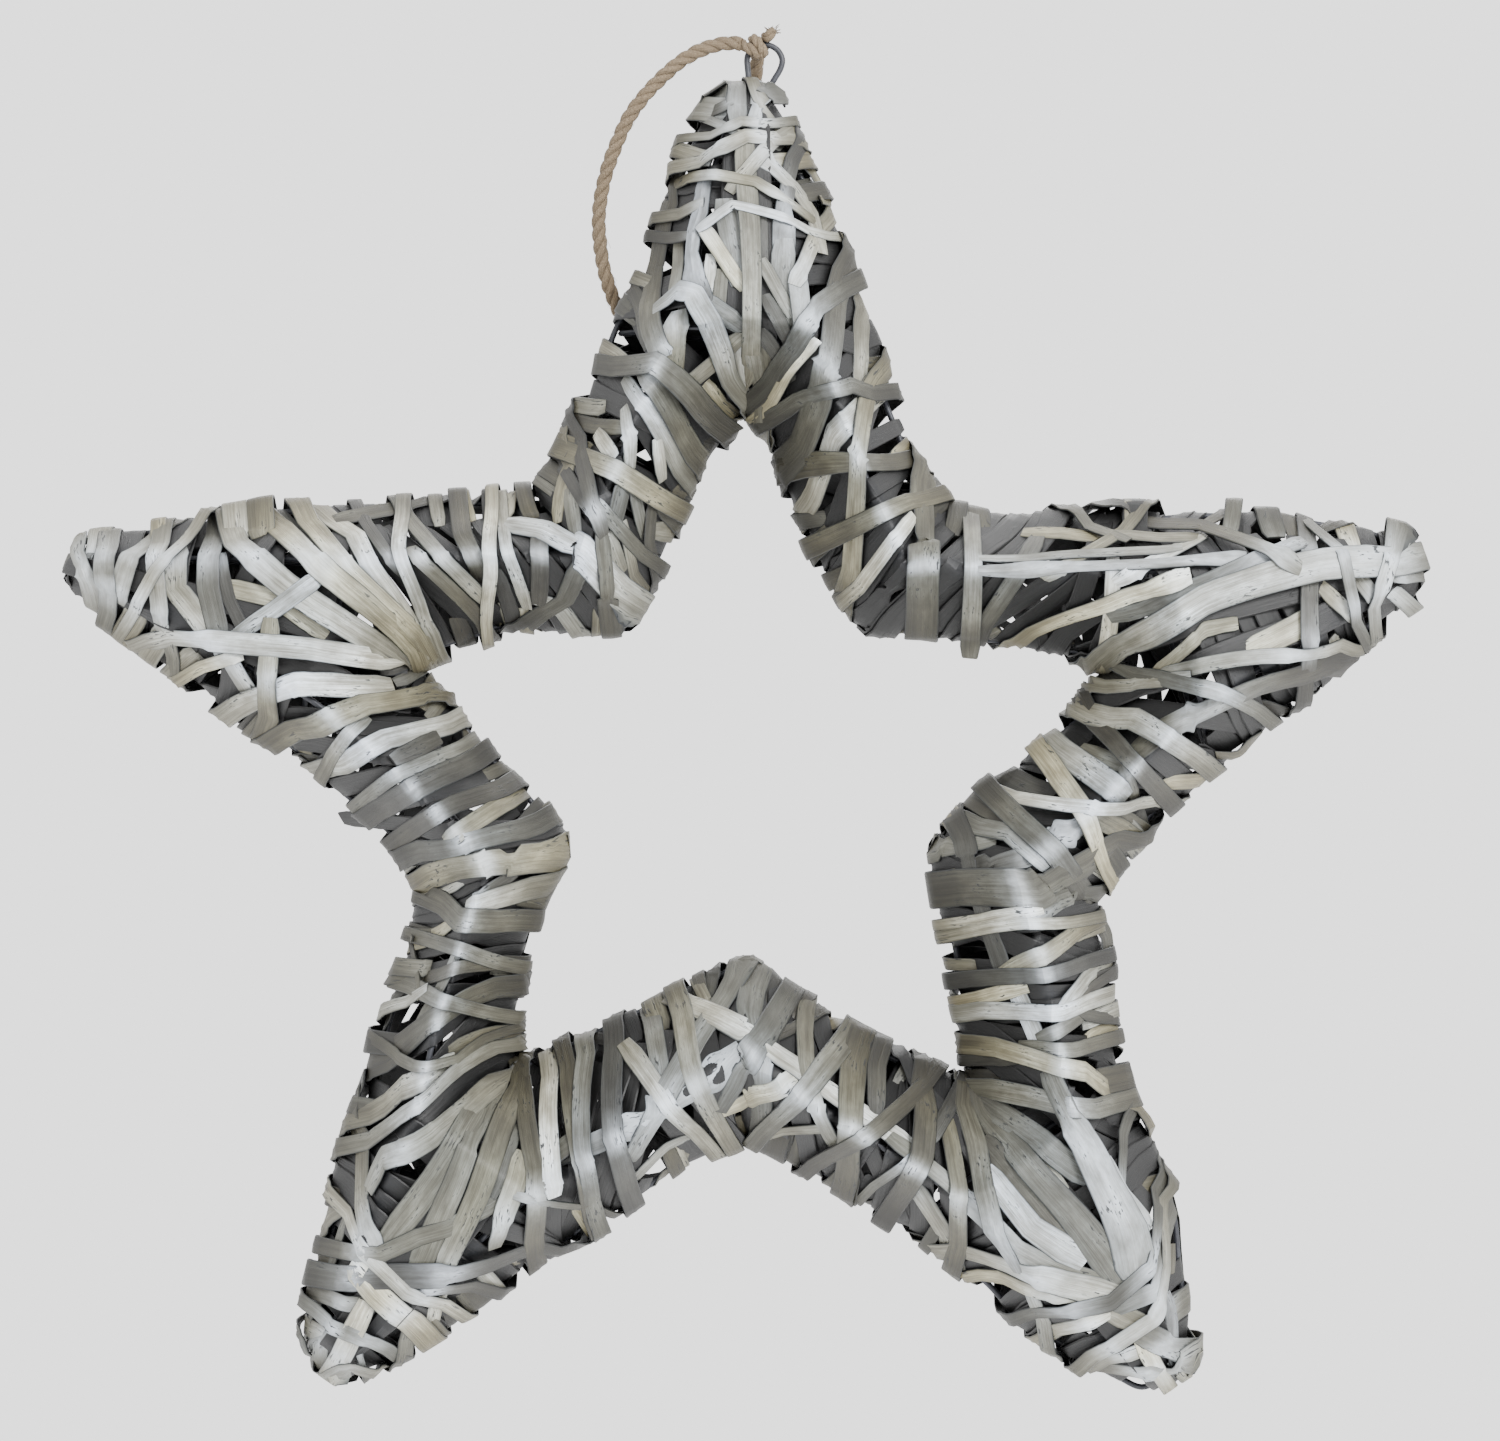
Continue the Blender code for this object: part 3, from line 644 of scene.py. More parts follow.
# Each strip read from the star's front: its width, then the places it passes,
# across and up from the eye's centre, in tenths of a millimetre. A later strip lies over
# the earlier ones.
frontStrips = {}
frontStrips["top"] = [
    (33, -7, -616, -7, -781), (33, 0, -1067, 15, -1166), (44, -198, -763, -209, -916), (51, -158, -818, -172, -964),
    (73, -143, -561, -99, -818), (51, -92, -1067, -62, -1276), (62, -209, -1210, -139, -1312),
    (37, 143, -425, 194, -543), (37, -216, -213, -136, -264), (33, -150, -95, -198, -172),
    (59, -106, -81, -99, -231), (44, -11, -81, -26, -154, -40, -235), (51, -110, -477, 11, -330),
    (40, 389, -964, 425, -1100), (70, 330, -854, 341, -1180), (77, -216, -909, -99, -986),
    (55, -312, -697, -323, -836), (51, -458, -799, -447, -916, -429, -1037),
    (62, -220, -469, -235, -579, -253, -638, -264, -733, -257, -818, -227, -895), (70, -315, -964, -334, -1173),
    (59, -282, -1195, -194, -1122, -99, -1030), (70, -381, -682, -400, -770, -414, -873, -414, -982, -381, -1078),
    (44, -370, -598, -253, -550), (44, -403, -664, -304, -660), (66, 77, -323, 84, -458, 66, -557, 66, -733),
    (81, 66, -708, 59, -836, 92, -1037), (51, 0, -781, 84, -938), (55, 11, -909, 103, -1078),
    (59, -7, -1019, 84, -1151), (59, 172, -675, 117, -818), (66, 117, -836, 139, -1037),
    (55, -209, -653, -92, -836), (33, -216, -623, -117, -550, -66, -561, 33, -587, 158, -638),
    (55, -4, -381, 103, -477, 169, -572, 198, -686), (55, -51, -1063, -11, -1210),
    (66, -73, -308, -66, -491, -55, -620, -48, -818, -48, -946, -51, -1070),
    (73, -370, -906, -312, -862, -257, -880, -198, -982, -139, -1147, -84, -1312),
    (40, -381, -524, -341, -462, -268, -436, -176, -440, -33, -466, 66, -528, 169, -594, 260, -653, 326, -748),
    (51, -297, -422, -70, -297, 44, -301, 99, -337), (37, -312, -352, -238, -308, -88, -242, 44, -249, 114, -253),
    (37, -290, -227, -238, -205, -59, -147, 29, -169, 110, -220), (33, 62, -279, 172, -407, 227, -510, 268, -634),
    (99, 268, -719, 253, -909, 227, -1129, 202, -1239, 143, -1393), (40, 169, -1067, 77, -1166, 18, -1283),
    (70, 356, -785, 286, -836, 187, -920, 99, -1074, 0, -1213, -92, -1345), (51, 425, -1100, 367, -1188),
    (81, 378, -1246, 249, -1386, 136, -1716), (66, 70, -1481, 304, -1481, 510, -1470, 653, -1554),
    (73, 363, -1265, 334, -1452, 315, -2079), (59, 26, -1316, 117, -1257, 312, -1202, 484, -1250),
    (66, 183, -1771, 521, -1620, 715, -1591), (51, 510, -1705, 363, -1903), (95, 568, -1606, 576, -2115),
    (62, -491, -1199, -257, -1602), (81, -429, -1166, -227, -1518),
    (81, -620, -1125, -400, -1125, -260, -1243, -150, -1386),
]
frontStrips["left"] = [
    (62, -1928, -1936, -1763, -1976, -1620, -2082), (37, -1485, -2101, -1389, -2137),
    (44, -1774, -1661, -1631, -1793, -1437, -1983), (48, -1466, -1679, -1323, -1862),
    (73, -1943, -2174, -1873, -2302), (55, -1734, -2511, -1639, -2588), (51, -1602, -2629, -1532, -2713),
    (62, -634, -1342, -532, -1356), (51, -502, -1312, -488, -1404, -491, -1477), (48, -392, -1422, -381, -1503),
    (59, -590, -1397, -557, -1444), (51, -733, -1554, -748, -1664), (59, -700, -1602, -682, -1716),
    (51, -968, -1679, -898, -1569), (59, -517, -1573, -543, -1679), (51, -557, -1771, -532, -1837),
    (44, -473, -1595, -451, -1705), (40, -510, -1730, -484, -1870), (62, -392, -1719, -334, -1719),
    (51, -851, -1961, -774, -1987, -631, -2090), (66, -814, -1774, -821, -1958), (44, -414, -1635, -455, -1950),
    (77, -814, -1459, -949, -1661), (51, -953, -1675, -931, -1800, -876, -1969), (59, -964, -1895, -913, -2060),
    (62, -678, -1877, -730, -1976, -862, -2035), (88, -913, -1708, -803, -1727, -656, -1811, -447, -2027),
    (48, -814, -1433, -777, -1422, -649, -1628), (73, -777, -1426, -678, -1452, -539, -1514, -268, -1675),
    (59, -590, -1774, -565, -2104), (48, -590, -1653, -378, -1881),
    (59, -667, -1151, -664, -1312, -667, -1444, -634, -1573, -598, -1705),
    (59, -2027, -1639, -2200, -1745, -2302, -1818, -2343, -1950), (88, -2137, -1826, -2134, -1936, -2009, -2090),
    (48, -1965, -1848, -1936, -1976, -1881, -2090), (73, -1994, -1697, -2013, -1811, -2013, -1936, -1976, -2090),
    (59, -2185, -1697, -2211, -1811, -2196, -1958, -2185, -2082, -2119, -2207),
    (66, -2500, -1763, -2482, -1859, -2427, -1983), (66, -2390, -1716, -2398, -1881, -2368, -2090),
    (84, -1936, -1741, -1917, -1774, -1727, -1928, -1411, -2137), (51, -1888, -2093, -1763, -2013, -1631, -1917),
    (44, -1965, -1653, -2108, -1763, -2203, -1870, -2350, -2108), (70, -1620, -1661, -1485, -1745, -1265, -2097),
    (59, -1536, -1679, -1353, -1642, -1162, -1620), (73, -1719, -1635, -1620, -1734, -1246, -2119),
    (73, -1129, -1565, -1096, -1741, -1059, -1811, -1026, -1888), (62, -1254, -1822, -1045, -2031),
    (59, -1287, -1694, -1034, -1958), (55, -1312, -1602, -1323, -1793, -1235, -2053, -1199, -2119),
    (88, -1936, -1631, -1763, -1716, -1437, -1994, -1265, -2148, -1202, -2280),
    (51, -990, -1628, -990, -1859, -1026, -2090), (88, -2002, -2379, -1859, -2339, -1686, -2284, -1393, -2291),
    (48, -2200, -2229, -2053, -2218, -1917, -2185), (73, -2302, -2101, -1917, -2134, -1734, -2148, -1312, -2196),
    (66, -1782, -2082, -1793, -2244, -1804, -2445), (73, -1697, -2588, -1532, -2574, -1371, -2482, -1081, -2416),
    (51, -1466, -2427, -1580, -2552, -1631, -2676),
    (84, -1851, -2482, -1620, -2434, -1448, -2357, -1246, -2321, -1081, -2390),
]
frontStrips["lowerLeft"] = [
    (81, -29, -3303, -62, -3475, -18, -3659, -11, -3879),
    (51, -752, -3992, -631, -3952, -510, -3893, -425, -3849, -282, -3765, -117, -3644),
    (55, -136, -3820, -40, -3765, 33, -3747, 110, -3706), (37, -473, -4073, -359, -3959, -304, -3934),
    (51, -451, -4194, -359, -4055, -264, -3978), (62, -422, -3446, -374, -3692),
    (66, -51, -3288, -172, -3457, -477, -3974),
    (59, -480, -3424, -257, -3457, -59, -3549, 117, -3670, 249, -3765, 370, -3849, 502, -3941),
    (44, -1338, -3431, -1276, -3340), (37, -1397, -3494, -1397, -3420, -1320, -3351),
    (59, -1111, -3255, -1246, -3512), (51, -1232, -3219, -1155, -3167), (55, -1129, -3600, -982, -3549),
    (66, -1312, -2544, -1217, -2493), (59, -1111, -2823, -971, -2728, -854, -2665), (51, -865, -2771, -788, -2695),
    (51, -1166, -3035, -1096, -2995), (51, -1019, -3039, -935, -2984),
    (51, -1525, -2742, -1342, -2618, -1037, -2482), (81, -1485, -2771, -1382, -2728, -1199, -2625, -990, -2530),
    (66, -1342, -2845, -1125, -2717, -851, -2629), (73, -1312, -2885, -1030, -2845, -726, -2786),
    (84, -1235, -2984, -1125, -2947, -949, -2925, -715, -2900), (73, -1048, -3079, -880, -3032, -733, -2955),
    (81, -1323, -2962, -1166, -3079, -1103, -3134, -982, -3142, -858, -3138),
    (55, -1213, -3347, -1118, -3307, -971, -3296), (51, -1276, -3200, -1103, -3237, -902, -3318),
    (95, -1334, -3611, -1213, -3505, -909, -3365), (59, -1265, -3387, -1166, -3424, -990, -3483),
    (22, -1312, -2955, -1305, -3200, -1254, -3395), (44, -1408, -3523, -1250, -3402),
    (44, -1411, -3604, -1441, -3805), (59, -1620, -4341, -1532, -4198), (37, -1576, -4396, -1532, -4253),
    (55, -1521, -4341, -1389, -4341, -1250, -4275, -1140, -4242, -986, -4154, -700, -3945),
    (55, -1631, -4506, -1510, -4528, -1422, -4528), (73, -1455, -4550, -1540, -4722),
    (29, -1217, -4645, -1074, -4590), (55, -1235, -4612, -1191, -4528), (26, -865, -4418, -656, -4319),
    (44, -1239, -4469, -960, -4454), (55, -865, -4407, -975, -4568),
    (84, -1419, -4084, -1378, -3996, -1074, -3813, -777, -3593), (48, -876, -3824, -971, -4091),
    (66, -971, -4289, -935, -4176, -880, -4018), (66, -847, -4322, -825, -4040, -880, -3728),
    (62, -763, -4084, -781, -3681), (73, -1151, -4366, -1048, -4154, -913, -3783),
    (88, -1353, -4275, -1217, -4099, -1059, -3838), (66, -1463, -3989, -1459, -4172, -1408, -4355),
    (81, -1507, -3919, -1309, -3743, -1155, -3659),
    (40, -1419, -3541, -1327, -3640, -1261, -3662, -1118, -3640, -975, -3541),
    (62, -1595, -4066, -1305, -3835, -1107, -3670, -920, -3574),
    (77, -887, -3596, -971, -3732, -1030, -3842, -1151, -4154, -1250, -4385),
    (26, -916, -4117, -667, -4176, -532, -4201), (59, -733, -3523, -689, -3882, -634, -4300),
    (62, -645, -3582, -656, -3952, -623, -4311), (73, -532, -3446, -554, -3703, -543, -3919, -488, -4220),
    (66, -488, -3615, -319, -3838, -161, -3996), (73, -319, -3380, -264, -3681, -84, -4029),
    (51, -1664, -4502, -1576, -4612, -1397, -4681), (22, -1683, -4524, -1653, -4692, -1576, -4788),
    (44, -1554, -4758, -1430, -4747), (51, -1320, -4648, -1419, -4780),
    (73, -1679, -4454, -1331, -4421, -993, -4388, -667, -4289),
    (92, -1470, -4407, -1400, -4495, -1294, -4590, -1195, -4689),
    (51, -1562, -4088, -1510, -4220, -1444, -4341, -1294, -4484, -1008, -4590),
]
frontStrips["lowerRight"] = [
    (37, 62, -3904, 213, -3886), (37, 249, -3483, 66, -3549),
    (59, 125, -3391, 143, -3549, 147, -3677, 183, -3805, 246, -3934),
    (70, 110, -3391, 4, -3545, -88, -3688, -147, -3794), (59, 403, -3659, 400, -3805), (37, 469, -4249, 664, -4330),
    (73, 546, -4099, 656, -4278), (37, 993, -3985, 1063, -4080),
    (59, 469, -3934, 664, -4084, 807, -4216, 906, -4319, 1026, -4385, 1191, -4447), (37, 359, -4139, 517, -4000),
    (88, 807, -3959, 957, -4124, 1125, -4333), (73, 818, -4062, 957, -4238, 1122, -4348),
    (37, 1294, -3860, 1287, -4062), (62, 1243, -4029, 1294, -4128, 1371, -4227), (51, 1268, -4729, 1364, -4696),
    (55, 1074, -4623, 1206, -4572), (59, 1257, -4557, 1338, -4590), (51, 1301, -4528, 1411, -4480, 1430, -4399),
    (37, 1481, -4322, 1481, -4436), (40, 1180, -4802, 1375, -4872), (48, 971, -4502, 1019, -4604, 1081, -4696),
    (44, 726, -3648, 869, -3648, 971, -3622), (81, 803, -3813, 990, -3926, 1140, -4044),
    (73, 741, -3747, 990, -3780, 1191, -3820, 1316, -3802), (84, 770, -3816, 913, -3974, 1089, -4172, 1268, -4410),
    (103, 1034, -3706, 1151, -3937, 1338, -4370), (48, 759, -4410, 960, -4473, 1118, -4484),
    (66, 741, -4348, 1034, -4432, 1235, -4484), (73, 286, -3596, 165, -3728, 51, -3849, -70, -3959),
    (62, 656, -3864, 697, -4095, 708, -4399), (66, 715, -3798, 766, -3948, 788, -4106, 825, -4253, 898, -4370),
    (51, 726, -3703, 697, -3780, 605, -3919), (88, 334, -3549, 308, -3772, 301, -3992, 308, -4187),
    (77, 539, -3629, 583, -3816, 565, -3985, 513, -4099, 440, -4234),
    (59, 656, -3684, 403, -3886, 246, -3989, 77, -4066), (55, 1463, -4535, 1477, -4641),
    (55, 1364, -4659, 1419, -4766), (66, 1367, -4634, 1499, -4714),
    (51, 960, -4674, 1151, -4758, 1444, -4791, 1518, -4725),
    (44, 843, -4553, 1034, -4557, 1250, -4517, 1393, -4392, 1419, -4260, 1411, -4091),
    (44, 1100, -4773, 1411, -4579, 1455, -4403, 1444, -4223, 1419, -4055),
]
frontStrips["right"] = [
    (62, 1448, -2647, 1620, -2581), (62, 913, -3402, 982, -3560), (51, 788, -3424, 913, -3384),
    (51, 1015, -3549, 1140, -3486), (44, 1147, -3475, 1272, -3538), (51, 777, -2735, 873, -2768),
    (59, 1023, -2859, 1125, -2808), (59, 1243, -2911, 1312, -2881), (48, 1290, -2570, 1331, -2673),
    (59, 1180, -2530, 1268, -2570), (48, 1272, -2746, 1356, -2786), (44, 1243, -3098, 1272, -3200),
    (73, 1202, -2764, 1375, -2848), (95, 1063, -2515, 1279, -2676), (66, 825, -2603, 1019, -2676),
    (62, 781, -2955, 927, -2911, 1037, -2845, 1136, -2786), (66, 605, -2900, 697, -2874, 807, -2852),
    (66, 605, -2812, 741, -2797, 887, -2823, 1008, -2925), (59, 719, -2775, 752, -2980, 803, -3142, 858, -3303),
    (73, 942, -3116, 1063, -3054, 1221, -2999), (99, 601, -3032, 971, -3024, 1067, -2973, 1184, -2914),
    (37, 612, -3167, 770, -3138, 942, -3101), (66, 891, -3314, 1019, -3248, 1158, -3160),
    (44, 642, -3215, 935, -3142, 1169, -3142), (66, 1074, -3446, 1243, -3255), (44, 1158, -3413, 1235, -3321),
    (55, 675, -3365, 997, -3332, 1169, -3292), (62, 697, -3486, 799, -3468, 1067, -3468, 1210, -3424),
    (51, 957, -3593, 1118, -3604, 1287, -3571), (55, 971, -1734, 1191, -1752), (48, 1037, -1884, 1279, -1741),
    (66, 741, -2156, 971, -1782), (66, 752, -1639, 752, -2181), (51, 1254, -1848, 1254, -2002, 1239, -2192),
    (51, 1562, -1756, 1290, -1899), (37, 803, -1833, 1474, -1796), (44, 803, -1873, 1705, -1833),
    (44, 1067, -1664, 1287, -1752), (44, 1287, -1741, 1536, -1752), (51, 1441, -2222, 1584, -2086, 1672, -2068),
    (73, 1756, -2156, 1969, -2049), (51, 2027, -1943, 2123, -2027), (44, 2035, -1723, 2152, -1694),
    (59, 2141, -1877, 2200, -1954), (44, 2269, -1888, 2420, -1899), (37, 1958, -2317, 2075, -2280),
    (44, 1642, -2537, 1807, -2423), (62, 1972, -1694, 1972, -1899, 1969, -2258, 1881, -2394),
    (84, 1338, -2530, 1437, -2449, 1910, -2258, 2090, -2181),
    (62, 1279, -2031, 1584, -1925, 1785, -1837, 1928, -1774), (55, 971, -2090, 1309, -1961, 1499, -1903),
    (92, 1254, -2156, 1587, -1976, 2013, -1848, 2412, -1822), (48, 1470, -2240, 2123, -2126, 2354, -2020),
    (51, 1111, -1653, 1587, -1705, 1910, -1848), (37, 1613, -1694, 1701, -1646, 1756, -1628),
    (55, 2310, -1719, 2255, -1873, 2192, -2064), (48, 1257, -2317, 1356, -2280, 1507, -2258),
    (70, 993, -2489, 1067, -2621, 1140, -2728, 1199, -2859, 1261, -3087),
    (48, 858, -2687, 1074, -2720, 1298, -2731, 1620, -2658), (77, 1243, -2409, 1334, -2409, 1653, -2592),
    (55, 1188, -2218, 1422, -2258, 1664, -2321, 1892, -2416),
    (66, 1180, -2258, 1202, -2420, 1309, -2548, 1492, -2720),
    (70, 785, -2614, 840, -2695, 1034, -2881, 1107, -2973, 1250, -3200, 1261, -3354, 1276, -3538),
    (66, 730, -3578, 1008, -3644, 1155, -3684, 1268, -3776, 1342, -3886, 1386, -3981),
    (44, 1756, -1635, 1972, -1679, 2090, -1807, 2167, -2115, 2075, -2310),
]

# How far the real star leans from the even one, in millimetres: places and shifts
leans = (
    (-7, -12, -1, -1), (2, -12, -1, -2), (11, -34, -1.5, -1), (20, -57, 0, 0.5), (29, -79, 0.5, 0.5),
    (38, -102, 0, 1), (47, -124, -4, 0.5), (56, -147, -4, 0.5), (65, -169, 1, 4.5), (89, -171, -0.5, 2),
    (113, -172, 0, 5.5), (138, -174, 0, 6.5), (162, -176, 0.5, 9.5), (186, -177, 0.5, 11), (210, -179, 0, 8.5),
    (237, -189, -1, 4), (240, -197, -1, 4), (221, -213, -2, 5), (202, -228, 1.5, 1), (184, -244, -1.5, 4.5),
    (165, -259, -1, 4), (147, -275, -1, 4), (128, -290, 2, 2), (109, -306, 8.5, -1), (115, -329, 7, 0),
    (121, -353, 2, -0.5), (127, -376, 1, -1), (133, -399, 5.5, 0.5), (139, -423, 11, 2), (145, -446, 8, -3),
    (144, -475, 2, -6), (137, -480, 2, -7.5), (116, -467, 2, -8.5), (96, -455, 0, -8), (75, -442, 0.5, -1),
    (55, -429, 0, 2), (34, -416, 0, 2), (14, -403, -0.5, 0.5), (-7, -390, 0, -2), (-27, -403, -0.5, 3),
    (-48, -416, 1.5, 1), (-68, -429, 1, 1), (-88, -442, -1, 2), (-109, -455, -1, -1.5), (-129, -467, -2, -1),
    (-157, -475, -2.5, 0.5), (-164, -470, -3, 0.5), (-158, -446, -3.5, 0.5), (-152, -423, -4.5, 1),
    (-146, -399, -4.5, 1), (-141, -376, -2, 1), (-135, -353, -3, 2.5), (-129, -329, 1, 1.5), (-123, -306, -0.5, 2),
    (-141, -290, 6, 7), (-160, -275, 6, 6.5), (-178, -259, 6, 9), (-197, -244, 2.5, 5.5), (-216, -228, 3, 7),
    (-234, -213, 1, 6.5), (-250, -189, -3, 6), (-247, -180, -3, 6), (-223, -179, -1.5, 6), (-199, -177, 0, 8),
    (-175, -176, 0, 11), (-151, -174, -0.5, 10.5), (-127, -172, -1, 10), (-102, -171, -2, 9), (-78, -169, -5, 10),
    (-69, -147, -1.5, 5), (-60, -124, -1.5, 4), (-51, -102, -4, 3.5), (-42, -79, 0.5, 1), (-34, -57, -3, 1.5),
    (-25, -34, -3, 1), (-7, -128, 0, 10), (5, -148, 2.5, 9.5), (16, -167, -2.5, 2), (27, -187, -3, -1),
    (38, -206, -2, -1), (60, -211, 0, 2.5), (82, -215, 0.5, 3.5), (105, -220, 3, 6.5), (127, -225, 5, 3.5),
    (111, -241, 5.5, 1), (96, -258, 2, 2.5), (81, -275, -2, 5), (66, -292, -3, 4.5), (69, -314, -1.5, 3),
    (71, -336, 0.5, 1.5), (73, -359, 3.5, 1), (76, -381, 2.5, 1.5), (55, -372, 2.5, 2), (35, -363, 0, 3),
    (14, -354, -0.5, 8), (-7, -344, -0.5, 15), (-27, -354, -2, 13.5), (-48, -363, -3, 13), (-68, -372, -4.5, 11),
    (-89, -381, -5, 10.5), (-87, -359, -9.5, 6.5), (-84, -336, -9, 2.5), (-82, -314, -4.5, 2), (-79, -292, 5, 5),
    (-94, -275, 7, 7), (-110, -258, 5.5, 6), (-125, -241, 8, 7.5), (-140, -225, 8, 4.5), (-118, -220, 3.5, 8),
    (-96, -215, 0, 10), (-74, -211, -0.5, 3.5), (-52, -206, -0.5, 1.5), (-40, -187, 0, 2.5), (-29, -167, -2, 5.5),
    (-18, -148, -2.5, 9.5), (-6.6, -12, -1, -1),
)
leanPlaces = np.array([lean[:2] for lean in leans]) / 1000
leanShifts = np.array([lean[2:] for lean in leans]) / 1000
leanReach = 0.014
leanRounds = 4


def leanAt(q):
    near = ((q[:, None, :] - leanPlaces[None]) ** 2).sum(2)
    weight = 1 / (near + leanReach**2) ** 2
    return weight @ leanShifts / weight.sum(1)[:, None]


def leaned(points):
    points = np.array(points, float)
    points[:, [0, 2]] += leanAt(points[:, [0, 2]])
    return points


def toEven(place):
    # The place on the even star that leans to the given one
    q = place.copy()
    for _ in range(leanRounds):
        q = place - leanAt(q[None, :])[0]
    return q


# Lengths in metres; pileSamples and the soft ones count samples of a strip's line
willow = {
    "thickness": 0.0008,
    "widen": 1.08,
    "mostWiden": 1.5,
    "leastSeen": 0.55,
    "widthWave": 0.05,
    "waveLength": 0.021,
    "mostPhase": 6.28,
    "endWidth": 0.75,
    "endTaper": 0.004,
    "firstLift": 0.0013,
    "layerGap": 0.0001,
    "wireRoom": 0.0012,
    "wirePower": 3,
    "mostLift": 0.0125,
    "mostPile": 0.0250,
    "leastCosine": 0.45,
    "edgePress": 0.66,
    "edgePressWidth": 0.012,
    "sampleStep": 0.0005,
    "fewestSamples": 12,
    "softWay": 1,
    "softLine": 3,
    "softLift": 2,
    "edgeStep": 0.0004,
    "cell": 0.0008,
    "pileSamples": 5,
    "pileColumns": 21,
    "snap": 0.0085,
    "mostSnap": 0.03,
    "tail": 0.016,
    "tuck": 0.009,
    "lowTuck": 1.9,
    "lowRun": 0.006,
    "reachUnder": 0.0035,
    "backSkip": 0.004,
    "longestBack": 0.15,
    "looseBack": 0.045,
    "dive": 0.0050,
    "diveDepth": 0.0016,
    "mostBulge": 0.0002,
    "mostTilt": 0.24,
    "roll": 0.05,
    "turnPerStation": 12.0,
    "longestStation": 0.010,
    "shortestStation": 0.0008,
    "squareEdge": (0.0010, 0.0035),
    "squareBreak": (0.007, 0.004),
    "middleStand": 0.8,
    "mostShift": 30.0,
    "sharpDegrees": 32.0,
    "seed": 23,
}
# A strip's section, round its top and then its underside: share of the half width,
# height in thicknesses, edge (where shade is painted), rub with its painted highlight, and whether it lies underneath
# (painted shade)
stripSection = (
    (-1.0, 0.45, 1.0, 0.5, False), (-0.90, 0.90, 0.35, 0.9, False), (0.0, 1.0, 0.0, 1.0, False),
    (0.90, 0.90, 0.35, 0.9, False), (1.0, 0.45, 1.0, 0.5, False), (0.96, 0.0, 1.0, 0.0, True),
    (-0.96, 0.0, 1.0, 0.0, True),
)
# Where a strip's left side, middle and right side touch the pile, in shares of the half width
touches = ((-0.9, (-0.92, -0.6)), (0.0, (-0.3, 0.0, 0.3)), (0.9, (0.92, 0.6)))
# The pile's height over a grid in plan, for each face
grid = {"size": 0.62, "corner": (-0.32, -0.57)}
cellCount = int(grid["size"] / willow["cell"])
piled = {face: np.zeros((cellCount, cellCount)) for face in (1, -1)}


def awayFromEdge(q, way):
    # The way a strip goes on over the edge at q: mirrored in the edge's line
    steps = np.eye(2) * willow["edgeStep"]
    slope = unit(np.array([edgeGap(q + step)[0] - edgeGap(q - step)[0] for step in steps]))
    return way - 2 * np.dot(way, slope) * slope


def toEdge(start, way, furthest=0.25, skip=0.0):
    # The first place along the way where the skin ends
    steps = np.arange(skip, furthest, willow["edgeStep"])
    gap = edgeGap(start + steps[:, None] * way)
    past = np.nonzero(gap < 0)[0]
    if len(past) == 0:
        return None
    k = past[0]
    if k == 0:
        return start + steps[0] * way
    t = steps[k - 1] + (steps[k] - steps[k - 1]) * gap[k - 1] / (gap[k - 1] - gap[k])
    return start + t * way


def reachOut(points):
    # Moves the line's last point to the edge wire, if it ends near one
    end, before = points[-1], points[-2]
    gap = edgeGap(end)[0]
    if gap > willow["snap"]:
        return points, False
    found = toEdge(before if gap < 0 else end, unit(end - before))
    if found is None or np.linalg.norm(found - end) > willow["mostSnap"]:
        return points, False
    return [*points[:-1], found], True


def wholeStrip(points, dice):
    # Carries a strip read on the front on over its edges and across the back.
    # Gives lines with their face, and how far each end lies under the others.
    points, wrapsEnd = reachOut(points)
    points, wrapsStart = reachOut(points[::-1])
    points = points[::-1]
    if wrapsStart and (not wrapsEnd or dice.random() < 0.5):
        points = points[::-1]
        wrapsStart, wrapsEnd = wrapsEnd, wrapsStart
    # an end that stays on the face goes on a little, under the strip that covers it
    for wraps in (wrapsStart, wrapsEnd):
        further = points[0] + unit(points[0] - points[1]) * willow["reachUnder"]
        if not wraps and edgeGap(further)[0] > star["edgeFlat"]:
            points = [further, *points]
        points = points[::-1]
    runs = [(points, 1)]
    tail = tuck = 0.0
    if wrapsEnd:
        way = awayFromEdge(points[-1], unit(points[-1] - points[-2]))
        far = toEdge(points[-1], way, skip=willow["backSkip"])
        if far is None or np.linalg.norm(far - points[-1]) > willow["longestBack"]:
            runs.append(([points[-1], points[-1] + way * willow["looseBack"]], -1))
        else:
            runs.append(([points[-1], far], -1))
            tucked = far + awayFromEdge(far, way) * willow["tuck"]
            if edgeGap(tucked)[0] > 0:
                runs.append(([far, tucked], 1))
                tuck = willow["tuck"]
    if wrapsStart:
        started = points[0] + awayFromEdge(points[0], unit(points[0] - points[1])) * willow["tail"]
        if edgeGap(started)[0] > 0:
            runs.insert(0, ([started, points[0]], -1))
            tail = willow["tail"]
    return runs, tail, tuck


def sampled(runs):
    places, faces = [], []
    for points, face in runs:
        for start, end in zip(points, points[1:]):
            count = max(2, int(np.linalg.norm(end - start) / willow["sampleStep"]))
            shares = np.linspace(0.0, 1.0, count, endpoint=False)
            places.append(start + shares[:, None] * (end - start))
            faces.append(np.full(count, face))
    places.append(runs[-1][0][-1][None, :])
    faces.append(np.array([runs[-1][1]]))
    return np.vstack(places), np.concatenate(faces)


def padded(values, reach):
    return np.concatenate([np.repeat(values[:1], reach, 0), values, np.repeat(values[-1:], reach, 0)])


def softened(values, reach):
    # A moving average that keeps its length and its ends
    wide = padded(values, reach)
    summed = np.cumsum(np.concatenate([np.zeros_like(wide[:1]), wide]), axis=0)
    span = 2 * reach + 1
    return (summed[span:] - summed[:-span]) / span


